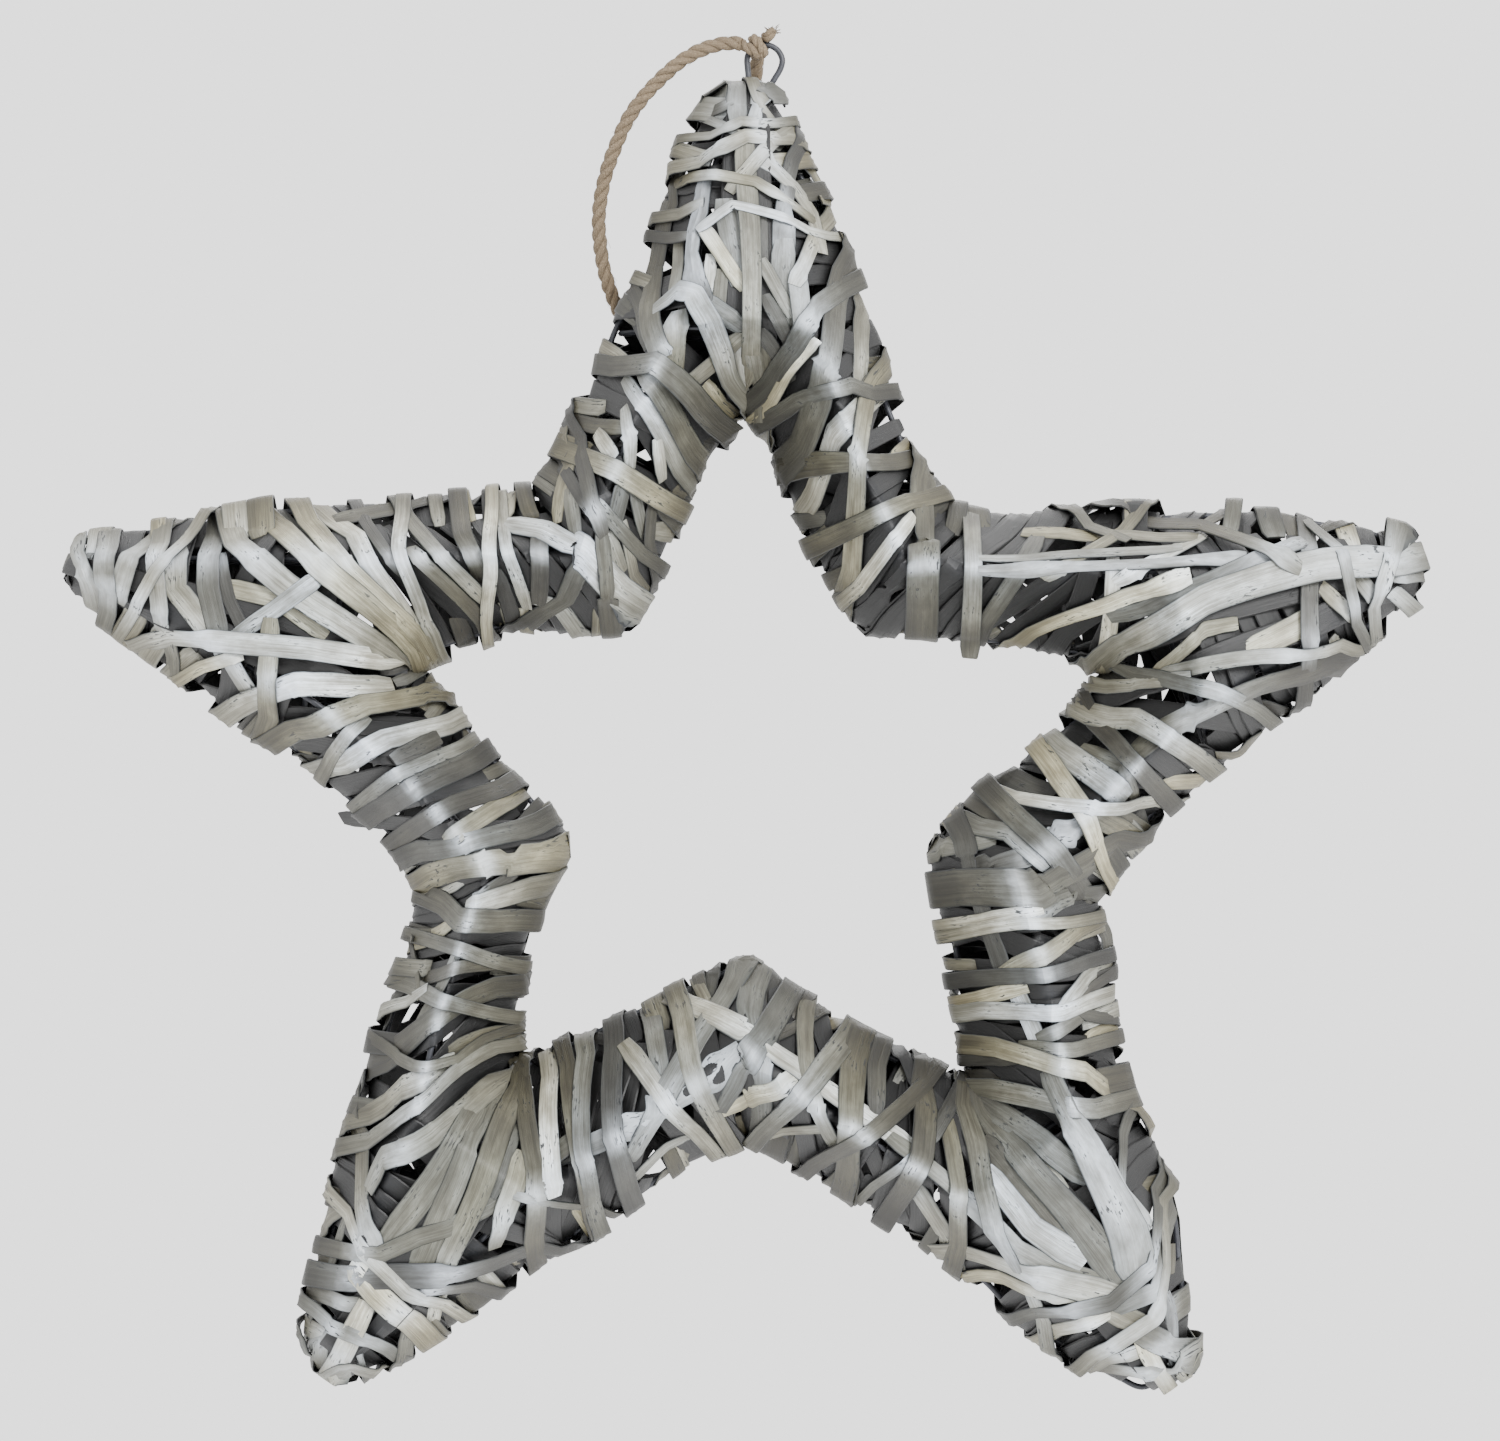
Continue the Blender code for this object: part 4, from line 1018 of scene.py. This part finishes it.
def highest(values, reach):
    wide = padded(values, reach)
    return np.max([wide[k : k + len(values)] for k in range(2 * reach + 1)], axis=0)


def tautOver(distance, height):
    # The line of a taut strip over these heights: straight from one top to the next
    kept = []
    for at in range(len(distance)):
        while len(kept) > 1:
            a, b = kept[-2], kept[-1]
            rise, run = height[b] - height[a], distance[b] - distance[a]
            if rise * (distance[at] - distance[a]) > (height[at] - height[a]) * run:
                break
            kept.pop()
        kept.append(at)
    return np.interp(distance, distance[kept], height[kept])


def cellsOf(plan):
    cells = np.clip(((plan - grid["corner"]) / willow["cell"]).astype(int), 0, cellCount - 1)
    return cells[:, 0], cells[:, 1]


def pileAt(q, faces):
    _, plan, side, _ = onSkin(q, faces)
    cells = cellsOf(plan)
    return np.where(side > 0, piled[1][cells], piled[-1][cells])


def pressedFlat(height):
    # High piles are pressed flatter, each strip still over those below it
    return willow["mostLift"] * (1 - np.exp(-np.maximum(height, 0.0) / willow["mostLift"]))


def ramped(distance, length):
    return np.clip(distance / length, 0.0, 1.0)


def skinPath(places, faces):
    # A strip's line on the skin, its ridge, the skin's outward ways there, and the step
    # in plan that moves a point one unit sideways on the skin
    slopeX, slopeZ, outward = skinFrames(places, faces)
    line, _, _, ridge = onSkin(places, faces)
    outward = unitRows(softened(outward, willow["softWay"]))
    tangent = np.gradient(softened(line, willow["softLine"]), axis=0)
    tangent = unitRows(tangent - outward * (tangent * outward).sum(1)[:, None])
    sideways = unitRows(softened(np.cross(outward, tangent), willow["softLine"]))
    xx, xz, zz = (slopeX * slopeX).sum(1), (slopeX * slopeZ).sum(1), (slopeZ * slopeZ).sum(1)
    wx, wz = (slopeX * sideways).sum(1), (slopeZ * sideways).sum(1)
    scale = np.maximum(xx * zz - xz * xz, 1e-6)
    step = np.stack([(zz * wx - xz * wz) / scale, (xx * wz - xz * wx) / scale], axis=1)
    return line, ridge, outward, step


def sideAt(values, share):
    # Between the values of a strip's left side, middle and right side
    side = values[0] if share < 0 else values[2]
    return values[1] + (side - values[1]) * abs(share) / touches[2][0]


def raisePile(places, faces, aside, lifts):
    for share in np.linspace(-1.0, 1.0, willow["pileColumns"]):
        _, plan, side, _ = onSkin(places + aside * share, faces)
        rows, columns = cellsOf(plan)
        height = np.clip(sideAt(lifts, share) - willow["firstLift"], 0.0, willow["mostPile"])
        height += willow["thickness"] + willow["layerGap"]
        for face in (1, -1):
            own = side * face > 0
            np.maximum.at(piled[face], (rows[own], columns[own]), height[own])


def turnsOf(ways):
    return np.degrees(np.arccos(np.clip((ways[1:] * ways[:-1]).sum(1), -1, 1)))


def stationsAlong(line, outward, walked):
    # Where the strip turns, and at least every few millimetres
    heading = unitRows(np.gradient(softened(line, willow["softLift"]), axis=0))
    turned = np.maximum(turnsOf(heading), turnsOf(outward))
    cost = turned / willow["turnPerStation"] + np.diff(walked) / willow["longestStation"]
    summed = np.concatenate([[0.0], np.cumsum(cost)])
    wanted = np.arange(0, summed[-1], 1.0)
    stations = sorted({0, len(line) - 1, *np.searchsorted(summed, wanted).tolist()})
    if len(stations) > 2 and walked[stations[-1]] - walked[stations[-2]] < willow["shortestStation"]:
        stations.pop(-2)
    return np.array(stations)


def endShares(walked, tail, tuck):
    # How much of the pile each end lies on, and how deep the free ends go
    low, dip = np.ones(len(walked)), np.zeros(len(walked))
    fromEnds = (tail, tail, walked), (tuck, tuck * willow["lowTuck"], walked[-1] - walked)
    for under, lowTo, fromEnd in fromEnds:
        if under > 0:
            low = np.minimum(low, np.clip((fromEnd - lowTo) / willow["lowRun"] + 1, 0.0, 1.0))
        else:
            dip = np.maximum(dip, np.clip(1 - fromEnd / willow["dive"], 0.0, 1.0))
    return low, dip


def flattened(left, centre, right, half):
    # Lifts at which the strip is nearly flat across, and tilted no more than it may be
    centre = np.maximum(centre, (left + right) / 2)
    bulge = np.maximum(centre - (left + right) / 2 - willow["mostBulge"], 0.0)
    left, right = left + bulge, right + bulge
    tilted = np.maximum(np.abs(right - left) - willow["mostTilt"] * 2 * half, 0.0)
    left = left + np.where(right > left, tilted, 0.0)
    right = right + np.where(left > right, tilted, 0.0)
    return left, np.maximum(centre, (left + right) / 2), right


def bookStrip(book, rings, wide, along, look, rise, ridge):
    # Adds a strip's mesh and looks to those of its piece
    uOf = [wide / 2 * share for share, *_ in stripSection]
    made = sweptFaces([*uOf, uOf[0]], along, book["count"])
    book["points"].append(leaned(np.stack(rings, axis=1).reshape(-1, 3)))
    book["faces"] += made[0]
    book["uvs"] += made[1]
    book["count"] += len(along) * len(stripSection)
    everywhere = np.ones((len(along), len(stripSection)))
    for key, value in (
        ("tone", look["tone"]), ("warmth", look["warmth"]), ("rise", rise[:, None]),
        ("shade", [1.0 if under else look["shade"] for *_, under in stripSection]),
        ("rub", ridge[:, None] * [rub for _, _, _, rub, _ in stripSection]),
        ("edge", [edge for _, _, edge, _, _ in stripSection]),
    ):
        book[key].append((everywhere * value).ravel())


def layStrip(points, width, look, dice, book):
    # Lays one strip on the star, over those before it
    runs, tail, tuck = wholeStrip([toEven(np.array(point)) for point in points], dice)
    places, faces = sampled(runs)
    count = len(places)
    if count < willow["fewestSamples"]:
        return
    line, ridge, outward, step = skinPath(places, faces)
    walked = walkedAlong(line)
    total = walked[-1]
    # the seen width is the plan's, so a strip across a slope is wider than it looks
    front = faces == 1
    seen = np.linalg.norm(step[front], axis=1).mean() if front.any() else 1.0
    wide = min(width * willow["widen"] / max(seen, willow["leastSeen"]), width * willow["mostWiden"])
    phase = dice.uniform(0.0, willow["mostPhase"])
    half = wide / 2 * (1 + willow["widthWave"] * np.sin(walked / willow["waveLength"] + phase))
    taper = ramped(np.minimum(walked, total - walked), willow["endTaper"])
    half *= willow["endWidth"] + (1 - willow["endWidth"]) * taper
    aside = step * half[:, None]

    low, dip = endShares(walked, tail, tuck)
    planWalked = walkedAlong(places)
    breaks = [0, *(np.nonzero(np.diff(faces))[0] + 1).tolist(), count]
    spans = [slice(start, stop) for start, stop in zip(breaks, breaks[1:])]
    edgeGaps = edgeGap(places)
    press = willow["edgePress"] + (1 - willow["edgePress"]) * ramped(edgeGaps, willow["edgePressWidth"])

    # the strip's left side, middle and right side each lie taut over the pile
    depths, cosines, lifts = [], [], []
    for middle, checked in touches:
        pile = np.max([pileAt(places + aside * share, faces) for share in checked], axis=0)
        pile = highest(pile, willow["pileSamples"]) * low - dip * willow["diveDepth"]
        pile = np.maximum(pile, willow["wireRoom"] * ridge ** willow["wirePower"])
        q = places + aside * middle
        depth = -onSkin(q, faces)[0][:, 1] * faces
        cosine = np.maximum(np.abs(skinFrames(q, faces)[2][:, 1]), willow["leastCosine"])
        taut = depth + (pile + willow["firstLift"]) / cosine
        for span in spans:
            taut[span] = tautOver(planWalked[span], taut[span])
        depths.append(depth)
        cosines.append(cosine)
        lifts.append(np.maximum((taut - depth) * cosine, 0.0))
    roll = dice.uniform(-1, 1) * willow["roll"] * wide
    rolls = (max(roll, 0.0), abs(roll) / 2, max(-roll, 0.0))
    flatLifts, lifts, tauts = flattened(*lifts, half), [], []
    for lift, raised, depth, cosine in zip(flatLifts, rolls, depths, cosines):
        taut = depth + (lift + raised) / cosine
        for span in spans:
            taut[span] = softened(softened(taut[span], willow["softLift"]), willow["softLift"])
        lift = np.clip((taut - depth) * cosine, 0.0, willow["mostPile"])
        lifts.append(softened(lift, willow["softLift"]))
        tauts.append(depth + pressedFlat(taut - depth) * press)
    # the middle never sinks below its sides
    for values in (lifts, tauts):
        values[1] = np.maximum(values[1], (values[0] + values[2]) / 2)
    raisePile(places, faces, aside, lifts)
    lifts = [pressedFlat(lift) for lift in lifts]

    # round an edge the strip stands off square to the skin, elsewhere straight forward
    stations = stationsAlong(line + outward * lifts[1][:, None], outward, walked)
    fromBreak = np.min([np.abs(walked - walked[at]) for at in breaks[1:-1]] or [np.ones(count)], axis=0)
    forwardShare = np.maximum(*[
        ramped(distance - start, length)
        for distance, (start, length) in ((edgeGaps, willow["squareEdge"]), (fromBreak, willow["squareBreak"]))
    ])[stations][:, None]
    face = faces[stations]
    rings = []
    for share, high, *_ in stripSection:
        q = places[stations] + step[stations] * (half[stations] * share)[:, None]
        normal = skinFrames(q, face)[2]
        around = onSkin(q, face)[0] + normal * (sideAt(lifts, share) * press)[stations][:, None]
        forward = np.stack([q[:, 0], -face * sideAt(tauts, share)[stations], q[:, 1]], axis=1)
        stand = unitRows(normal + outward[stations] * willow["middleStand"])
        rings.append(around + (forward - around) * forwardShare + stand * (willow["thickness"] * high))

    shift = dice.uniform(0.0, willow["mostShift"])
    # how high the strip lies, which drives the painted shade and highlight of the rise ramp
    rise = np.clip(np.abs(line[stations, 1]) / star["ridgeDepth"], 0.0, 1.0)
    bookStrip(book, rings, wide, walked[stations] + shift, look, rise, ridge[stations])


def armPlace(arm, along, across):
    turn = 2 * halfTurn * arm
    return np.array([
        star["centre"][0] + math.sin(turn) * along + math.cos(turn) * across,
        star["centre"][1] + math.cos(turn) * along - math.sin(turn) * across,
    ])


# The lower strips that show between the others. A jitter or a slant is a random range
# either way; a turn's places on the outer and inner edge are shares of that edge.
lower = {
    "width": (0.0062, 0.0090),
    # tone: a darker range than the upper strips', painted shade for strips that lie inside
    "tone": (0.15, 0.75),
    "skinGap": 0.0004,
    "trimSteps": 120,
}
# turns round each half arm
legTurns = {
    "turns": 9, "jitter": 0.25, "slant": 0.24, "outer": (0.56, 0.5), "outerLimits": (0.03, 0.62),
    "inner": (0.9, 0.6), "innerLimits": (0.05, 0.93),
}
# turns round each point
pointTurns = {
    "turns": 10, "from": 0.030, "run": 0.084, "within": (0.2, 0.8), "slant": 0.022, "narrowing": 0.5,
    "half": 0.07,
}
# turns at the bridge to the next arm: each end's place along it, and its share of the spacing
bridgeTurns = {
    "turns": 5, "spacing": 0.0085, "jitter": 0.002, "slant": 0.010, "outer": (0.150, 1.25),
    "inner": (0.055, 0.75),
}
# strips that lie along the arm: where they start and end along it, and how they spread
longStrips = {"count": 2, "spacing": 0.016, "jitter": 0.003, "from": (0.128, 0.3, 1.2), "to": (0.2545, 0.45)}


def within(value, limits):
    return min(max(value, limits[0]), limits[1])


def lowerStrips(arm, dice):
    made = []

    def add(*places, of=arm):
        made.append((dice.uniform(*lower["width"]), [armPlace(of, *place) for place in places]))

    for side in (-1, 1):
        outFrom, outTo, inFrom = valley * (1, side), tip * (1, side), openingFoot * (1, side)
        for turn in range(legTurns["turns"]):
            share = (turn + 0.5 + dice.uniform(-legTurns["jitter"], legTurns["jitter"])) / legTurns["turns"]
            slant = dice.uniform(-legTurns["slant"], legTurns["slant"])
            outer = within(share * legTurns["outer"][0] + slant * legTurns["outer"][1], legTurns["outerLimits"])
            inner = within(share * legTurns["inner"][0] - slant * legTurns["inner"][1], legTurns["innerLimits"])
            add(outFrom + (outTo - outFrom) * outer, inFrom + (crotch - inFrom) * inner)
    for turn in range(pointTurns["turns"]):
        share = (turn + dice.uniform(*pointTurns["within"])) / pointTurns["turns"]
        along = star["crotchRadius"] + pointTurns["from"] + share * pointTurns["run"]
        most = pointTurns["slant"]
        slant = dice.uniform(-most, most) * (1 - pointTurns["narrowing"] * turn / pointTurns["turns"])
        add((along - slant, -pointTurns["half"]), (along, 0.0), (along + slant, pointTurns["half"]))
    for turn in range(bridgeTurns["turns"]):
        middle = (turn - (bridgeTurns["turns"] - 1) / 2) * bridgeTurns["spacing"]
        across = middle + dice.uniform(-bridgeTurns["jitter"], bridgeTurns["jitter"])
        slant = dice.uniform(-bridgeTurns["slant"], bridgeTurns["slant"])
        outer, inner = bridgeTurns["outer"], bridgeTurns["inner"]
        add((outer[0], across * outer[1] + slant), (inner[0], across * inner[1] - slant), of=arm + 0.5)
    for strip in range(longStrips["count"]):
        across = (strip - 0.5) * longStrips["spacing"]
        across += dice.uniform(-longStrips["jitter"], longStrips["jitter"])
        start, shift, spread = longStrips["from"]
        add((start + abs(across) * shift, across * spread), (longStrips["to"][0], across * longStrips["to"][1]))
    return made


def trimmed(points):
    # The ends of a line's stretch that lies on the skin
    pieces = [np.linspace(a, b, lower["trimSteps"], endpoint=False) for a, b in zip(points, points[1:])]
    fine = np.vstack([*pieces, points[-1]])
    inside = edgeGap(fine) > lower["skinGap"]
    places = np.nonzero(inside)[0]
    first = last = places[len(places) // 2]
    while first > 0 and inside[first - 1]:
        first -= 1
    while last < len(fine) - 1 and inside[last + 1]:
        last += 1
    return [fine[first], fine[last]]


willowDice = random.Random(willow["seed"])
upper = {"tones": (0.30, 0.44, 0.54, 0.64, 0.74, 0.84, 0.96), "warmths": (0.1, 0.3, 0.5, 0.65, 0.85)}
armNames = ("top", "right", "lowerRight", "lowerLeft", "left")
looks = ("tone", "warmth", "rise", "shade", "rub", "edge")
books = {
    arm + layer: {"points": [], "faces": [], "uvs": [], "count": 0, **{key: [] for key in looks}}
    for arm in armNames for layer in ("Lower", "Upper")
}
for arm, name in enumerate(armNames):
    for width, points in lowerStrips(arm, willowDice):
        # lower strips take the full painted shade
        look = {"tone": willowDice.uniform(*lower["tone"]), "warmth": willowDice.random(), "shade": 1.0}
        layStrip(trimmed(points), width, look, willowDice, books[name + "Lower"])
print("lower strips laid")
for name, strips in frontStrips.items():
    for strip in strips:
        width, *along = [tenths / 10 / 1000 for tenths in strip]
        places = list(zip(along[::2], along[1::2]))
        tone, warmth = willowDice.choice(upper["tones"]), willowDice.choice(upper["warmths"])
        look = {"tone": tone, "warmth": warmth, "shade": 0.0}
        layStrip(places, width, look, willowDice, books[name + "Upper"])
print("upper strips laid")

for name in armNames:
    ending = "_" + name.replace("lower", "lower_").lower()
    own = [
        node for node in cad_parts
        if node.startswith("willow") and ending + "_" in node + "_"
        and (name.startswith("lower") or "lower" not in node)
    ]
    for layer in ("Lower", "Upper"):
        book = books[name + layer]
        piece = buildMesh(
            "willow" + name[0].upper() + name[1:] + layer, np.vstack(book["points"]), book["faces"], book["uvs"],
            willowFinish, {key: np.concatenate(book[key]) for key in looks}, willow["sharpDegrees"],
        )
        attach(piece, "root")
        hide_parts(*own)
        print(piece.name, len(piece.data.polygons), "faces, for", len(own), "solids")

# The wires, bent along the star's corners and leaning with it
wire = {"radius": 0.0011, "sides": 10, "bend": 3, "spacing": 0.0012, "eyeSpacing": 0.6}
# The eye's loop and the ends that run to it
eyeRoute = metres(
    (-156, 0, -120), (-98, 0, -112), (-66, 0, -96), (-61, 0, -62), (-64, 0, -22), (-66, 0, 8), (-60, 0, 32),
    (-45, 0, 48), (-24, 0, 60), (0, 0, 64), (26, 0, 58), (48, 0, 42), (62, 0, 16), (62, 0, -8), (52, 0, -34),
    (36, 0, -60), (22, 0, -88), (24, 0, -120),
)


def armPoint(arm, along, across, depth=0.0):
    x, z = armPlace(arm, along, across)
    return (x, -depth, z)


def bentWire(corners):
    corners = np.array(corners, float)
    walked = walkedAlong(corners)
    even = np.linspace(0.0, walked[-1], max(3, int(walked[-1] / wire["spacing"])))
    line = resampled(corners, walked, even)
    return softened(softened(leaned(line), wire["bend"]), wire["bend"])


outlinePath, openingPath, ridgePath = [armPoint(0, *valley)], [], []
for arm in range(1, star["arms"]):
    outlinePath += [armPoint(arm, *(tip * (1, -1))), armPoint(arm, *tip), armPoint(arm, *valley)]
for arm in range(star["arms"]):
    openingPath += [armPoint(arm, *crotch), armPoint(arm, *openingFoot)]
    ridgePath += [
        (arm, *(shoulder * (1, -1)), shoulderDepth), (arm, ridgeTipAlong, -star["ridgeTipAcross"], ridgeTipDepth),
        (arm, ridgeTipAlong, star["ridgeTipAcross"], ridgeTipDepth), (arm, *shoulder, shoulderDepth),
        (arm, *ridgeFoot, star["ridgeDepth"]),
    ]
openingPath.append(openingPath[0])
# a ridge's path ends at the bridge where its wire starts
frontRidge, backRidge = [
    [armPoint(arm, a, c, depth * face) for arm, a, c, depth in ridgePath] for face in (1, -1)
]
eyeStart = bentWire([armPoint(0, *(valley * (1, -1))), eyeRoute[0]])
eyeCurve = smoothLine(eyeRoute, wire["spacing"] * wire["eyeSpacing"])
eyeEnd = bentWire([eyeRoute[-1], armPoint(0, *valley)])
for name, node, line in (
    ("outlineWire", "outline_wire", bentWire(outlinePath)),
    ("openingWire", "opening_wire", bentWire(openingPath)),
    ("frontRidgeWire", "front_ridge_wire", bentWire([frontRidge[-1], *frontRidge])),
    ("backRidgeWire", "back_ridge_wire", bentWire([backRidge[-1], *backRidge])),
    ("hangingEye", "hanging_eye", np.vstack([eyeStart[:-2], eyeCurve[1:-1], eyeEnd[2:]])),
):
    piece = sweepTubes(name, [(line, wire["radius"], wire["sides"])], wireFinish)
    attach(piece, "root")
    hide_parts(node)

# The narrow willow band folded over the eye's neck: its places, and the way it faces at each
band = {
    "width": 0.0034, "thickness": 0.0008, "spacing": 0.0006,
    "looks": {"tone": 0.85, "warmth": 0.0, "rise": 0.7, "shade": 0.0, "rub": 0.0},
}
bandRoute = metres(
    (-70, 18, -128), (-82, 0, -112), (-70, -17, -98), (-55, -21, -80), (-30, -22, -83), (16, -18, -107),
    (36, -4, -117), (34, 15, -112), (-10, 21, -92), (-62, 20, -100),
)
bandFacing = np.array([
    (-0.4, 0.9, 0.0), (-1.0, 0.0, 0.2), (-0.3, -1.0, 0.1), (0.0, -1.0, 0.25), (0.0, -1.0, 0.25), (0.2, -1.0, 0.2),
    (1.0, -0.3, 0.2), (0.5, 0.9, 0.1), (0.0, 1.0, 0.2), (-0.1, 1.0, 0.2),
])
bandLine = smoothLine(bandRoute, band["spacing"])
shares = np.linspace(0.0, len(bandRoute) - 1, len(bandLine))
bandWays = resampled(bandFacing, range(len(bandRoute)), shares)
bandTangent = unitRows(np.gradient(bandLine, axis=0))
bandWays = unitRows(bandWays - bandTangent * (bandWays * bandTangent).sum(1)[:, None])
bandSide = np.cross(bandWays, bandTangent)
rings = np.stack([
    bandLine + bandSide * (share * band["width"] / 2) + bandWays * (high * band["thickness"])
    for share, high, *_ in stripSection
], axis=1)
uOf = [share * band["width"] / 2 for share, *_ in stripSection]
bandLooks = {key: np.full(rings.shape[:2], value).ravel() for key, value in band["looks"].items()}
bandLooks["edge"] = np.tile([edge for _, _, edge, _, _ in stripSection], len(bandLine))
eyeBinding = buildMesh(
    "eyeBinding", rings.reshape(-1, 3), *sweptFaces([*uOf, uOf[0]], walkedAlong(bandLine), capU=0.0), willowFinish,
    bandLooks, willow["sharpDegrees"],
)
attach(eyeBinding, "root")
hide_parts("eye_binding")
print("wires bent")

# The ribs inside lean with the windings over them
for nodeName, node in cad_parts.items():
    if "_rib_" not in nodeName:
        continue
    corners = [tuple(node.matrix_world @ vertex.co) for vertex in node.data.vertices]
    sides = [list(polygon.vertices) for polygon in node.data.polygons]
    words = nodeName.split("_")
    rib = buildMesh(
        words[0] + "".join(word.capitalize() for word in words[1:]), leaned(corners), sides,
        [(0.0, 0.0)] * sum(len(side) for side in sides), wireFinish,
    )
    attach(rib, "root")
    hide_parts(nodeName)
print("ribs leaned")

# Floor and light
stage = {
    "floorDrop": 0.75, "floorSize": 4.0, "floorRoughness": 0.7, "floorNoise": (3.0, 2.0), "floorBump": (0.02, 0.001),
    "floorColours": ((0.3, (0.86, 0.86, 0.86)), (0.7, (0.90, 0.90, 0.90))), "roomLight": 2.15,
}
deselectAll()
bpy.ops.mesh.primitive_plane_add(size=stage["floorSize"], location=(view["across"], 0.0, -stage["floorDrop"]))
floor = bpy.context.object
floor.name = "floor"
bpy.ops.object.transform_apply(location=True)
pale = Nodes("paleFloor")
paleNoise = pale.noise(pale.add("TexCoord").outputs["Object"], *stage["floorNoise"])
paleColour = pale.ramp(paleNoise, stage["floorColours"])
paleFinish = pale.finish(paleColour, stage["floorRoughness"], pale.bump(paleNoise, *stage["floorBump"]))
floor.data.materials.append(paleFinish)

world = bpy.data.worlds.new("paleRoom")
bpy.context.scene.world = world
world.use_nodes = True
background = world.node_tree.nodes["Background"]
background.inputs["Color"].default_value = (1.0, 1.0, 1.0, 1.0)
background.inputs["Strength"].default_value = stage["roomLight"]

lights = {
    "windowBelow": {"place": (-0.2, -1.9, -1.9), "size": 1.0, "power": 450.0, "tint": (0.94, 0.97, 1.0)},
    "windowRight": {"place": (1.2, -2.1, 0.9), "size": 0.9, "power": 130.0, "tint": (1.0, 1.0, 1.0)},
    "topBack": {"place": (0.2, 1.6, 1.1), "size": 1.2, "power": 30.0, "tint": (1.0, 1.0, 1.0)},
}
for name, lamp in lights.items():
    deselectAll()
    way = Vector((view["across"], 0.0, view["up"])) - Vector(lamp["place"])
    bpy.ops.object.light_add(type="AREA", location=lamp["place"], rotation=way.to_track_quat("-Z", "Y").to_euler())
    light = bpy.context.object
    light.name = name
    light.data.size = lamp["size"]
    light.data.energy = lamp["power"]
    light.data.color = lamp["tint"]
print("lights placed")
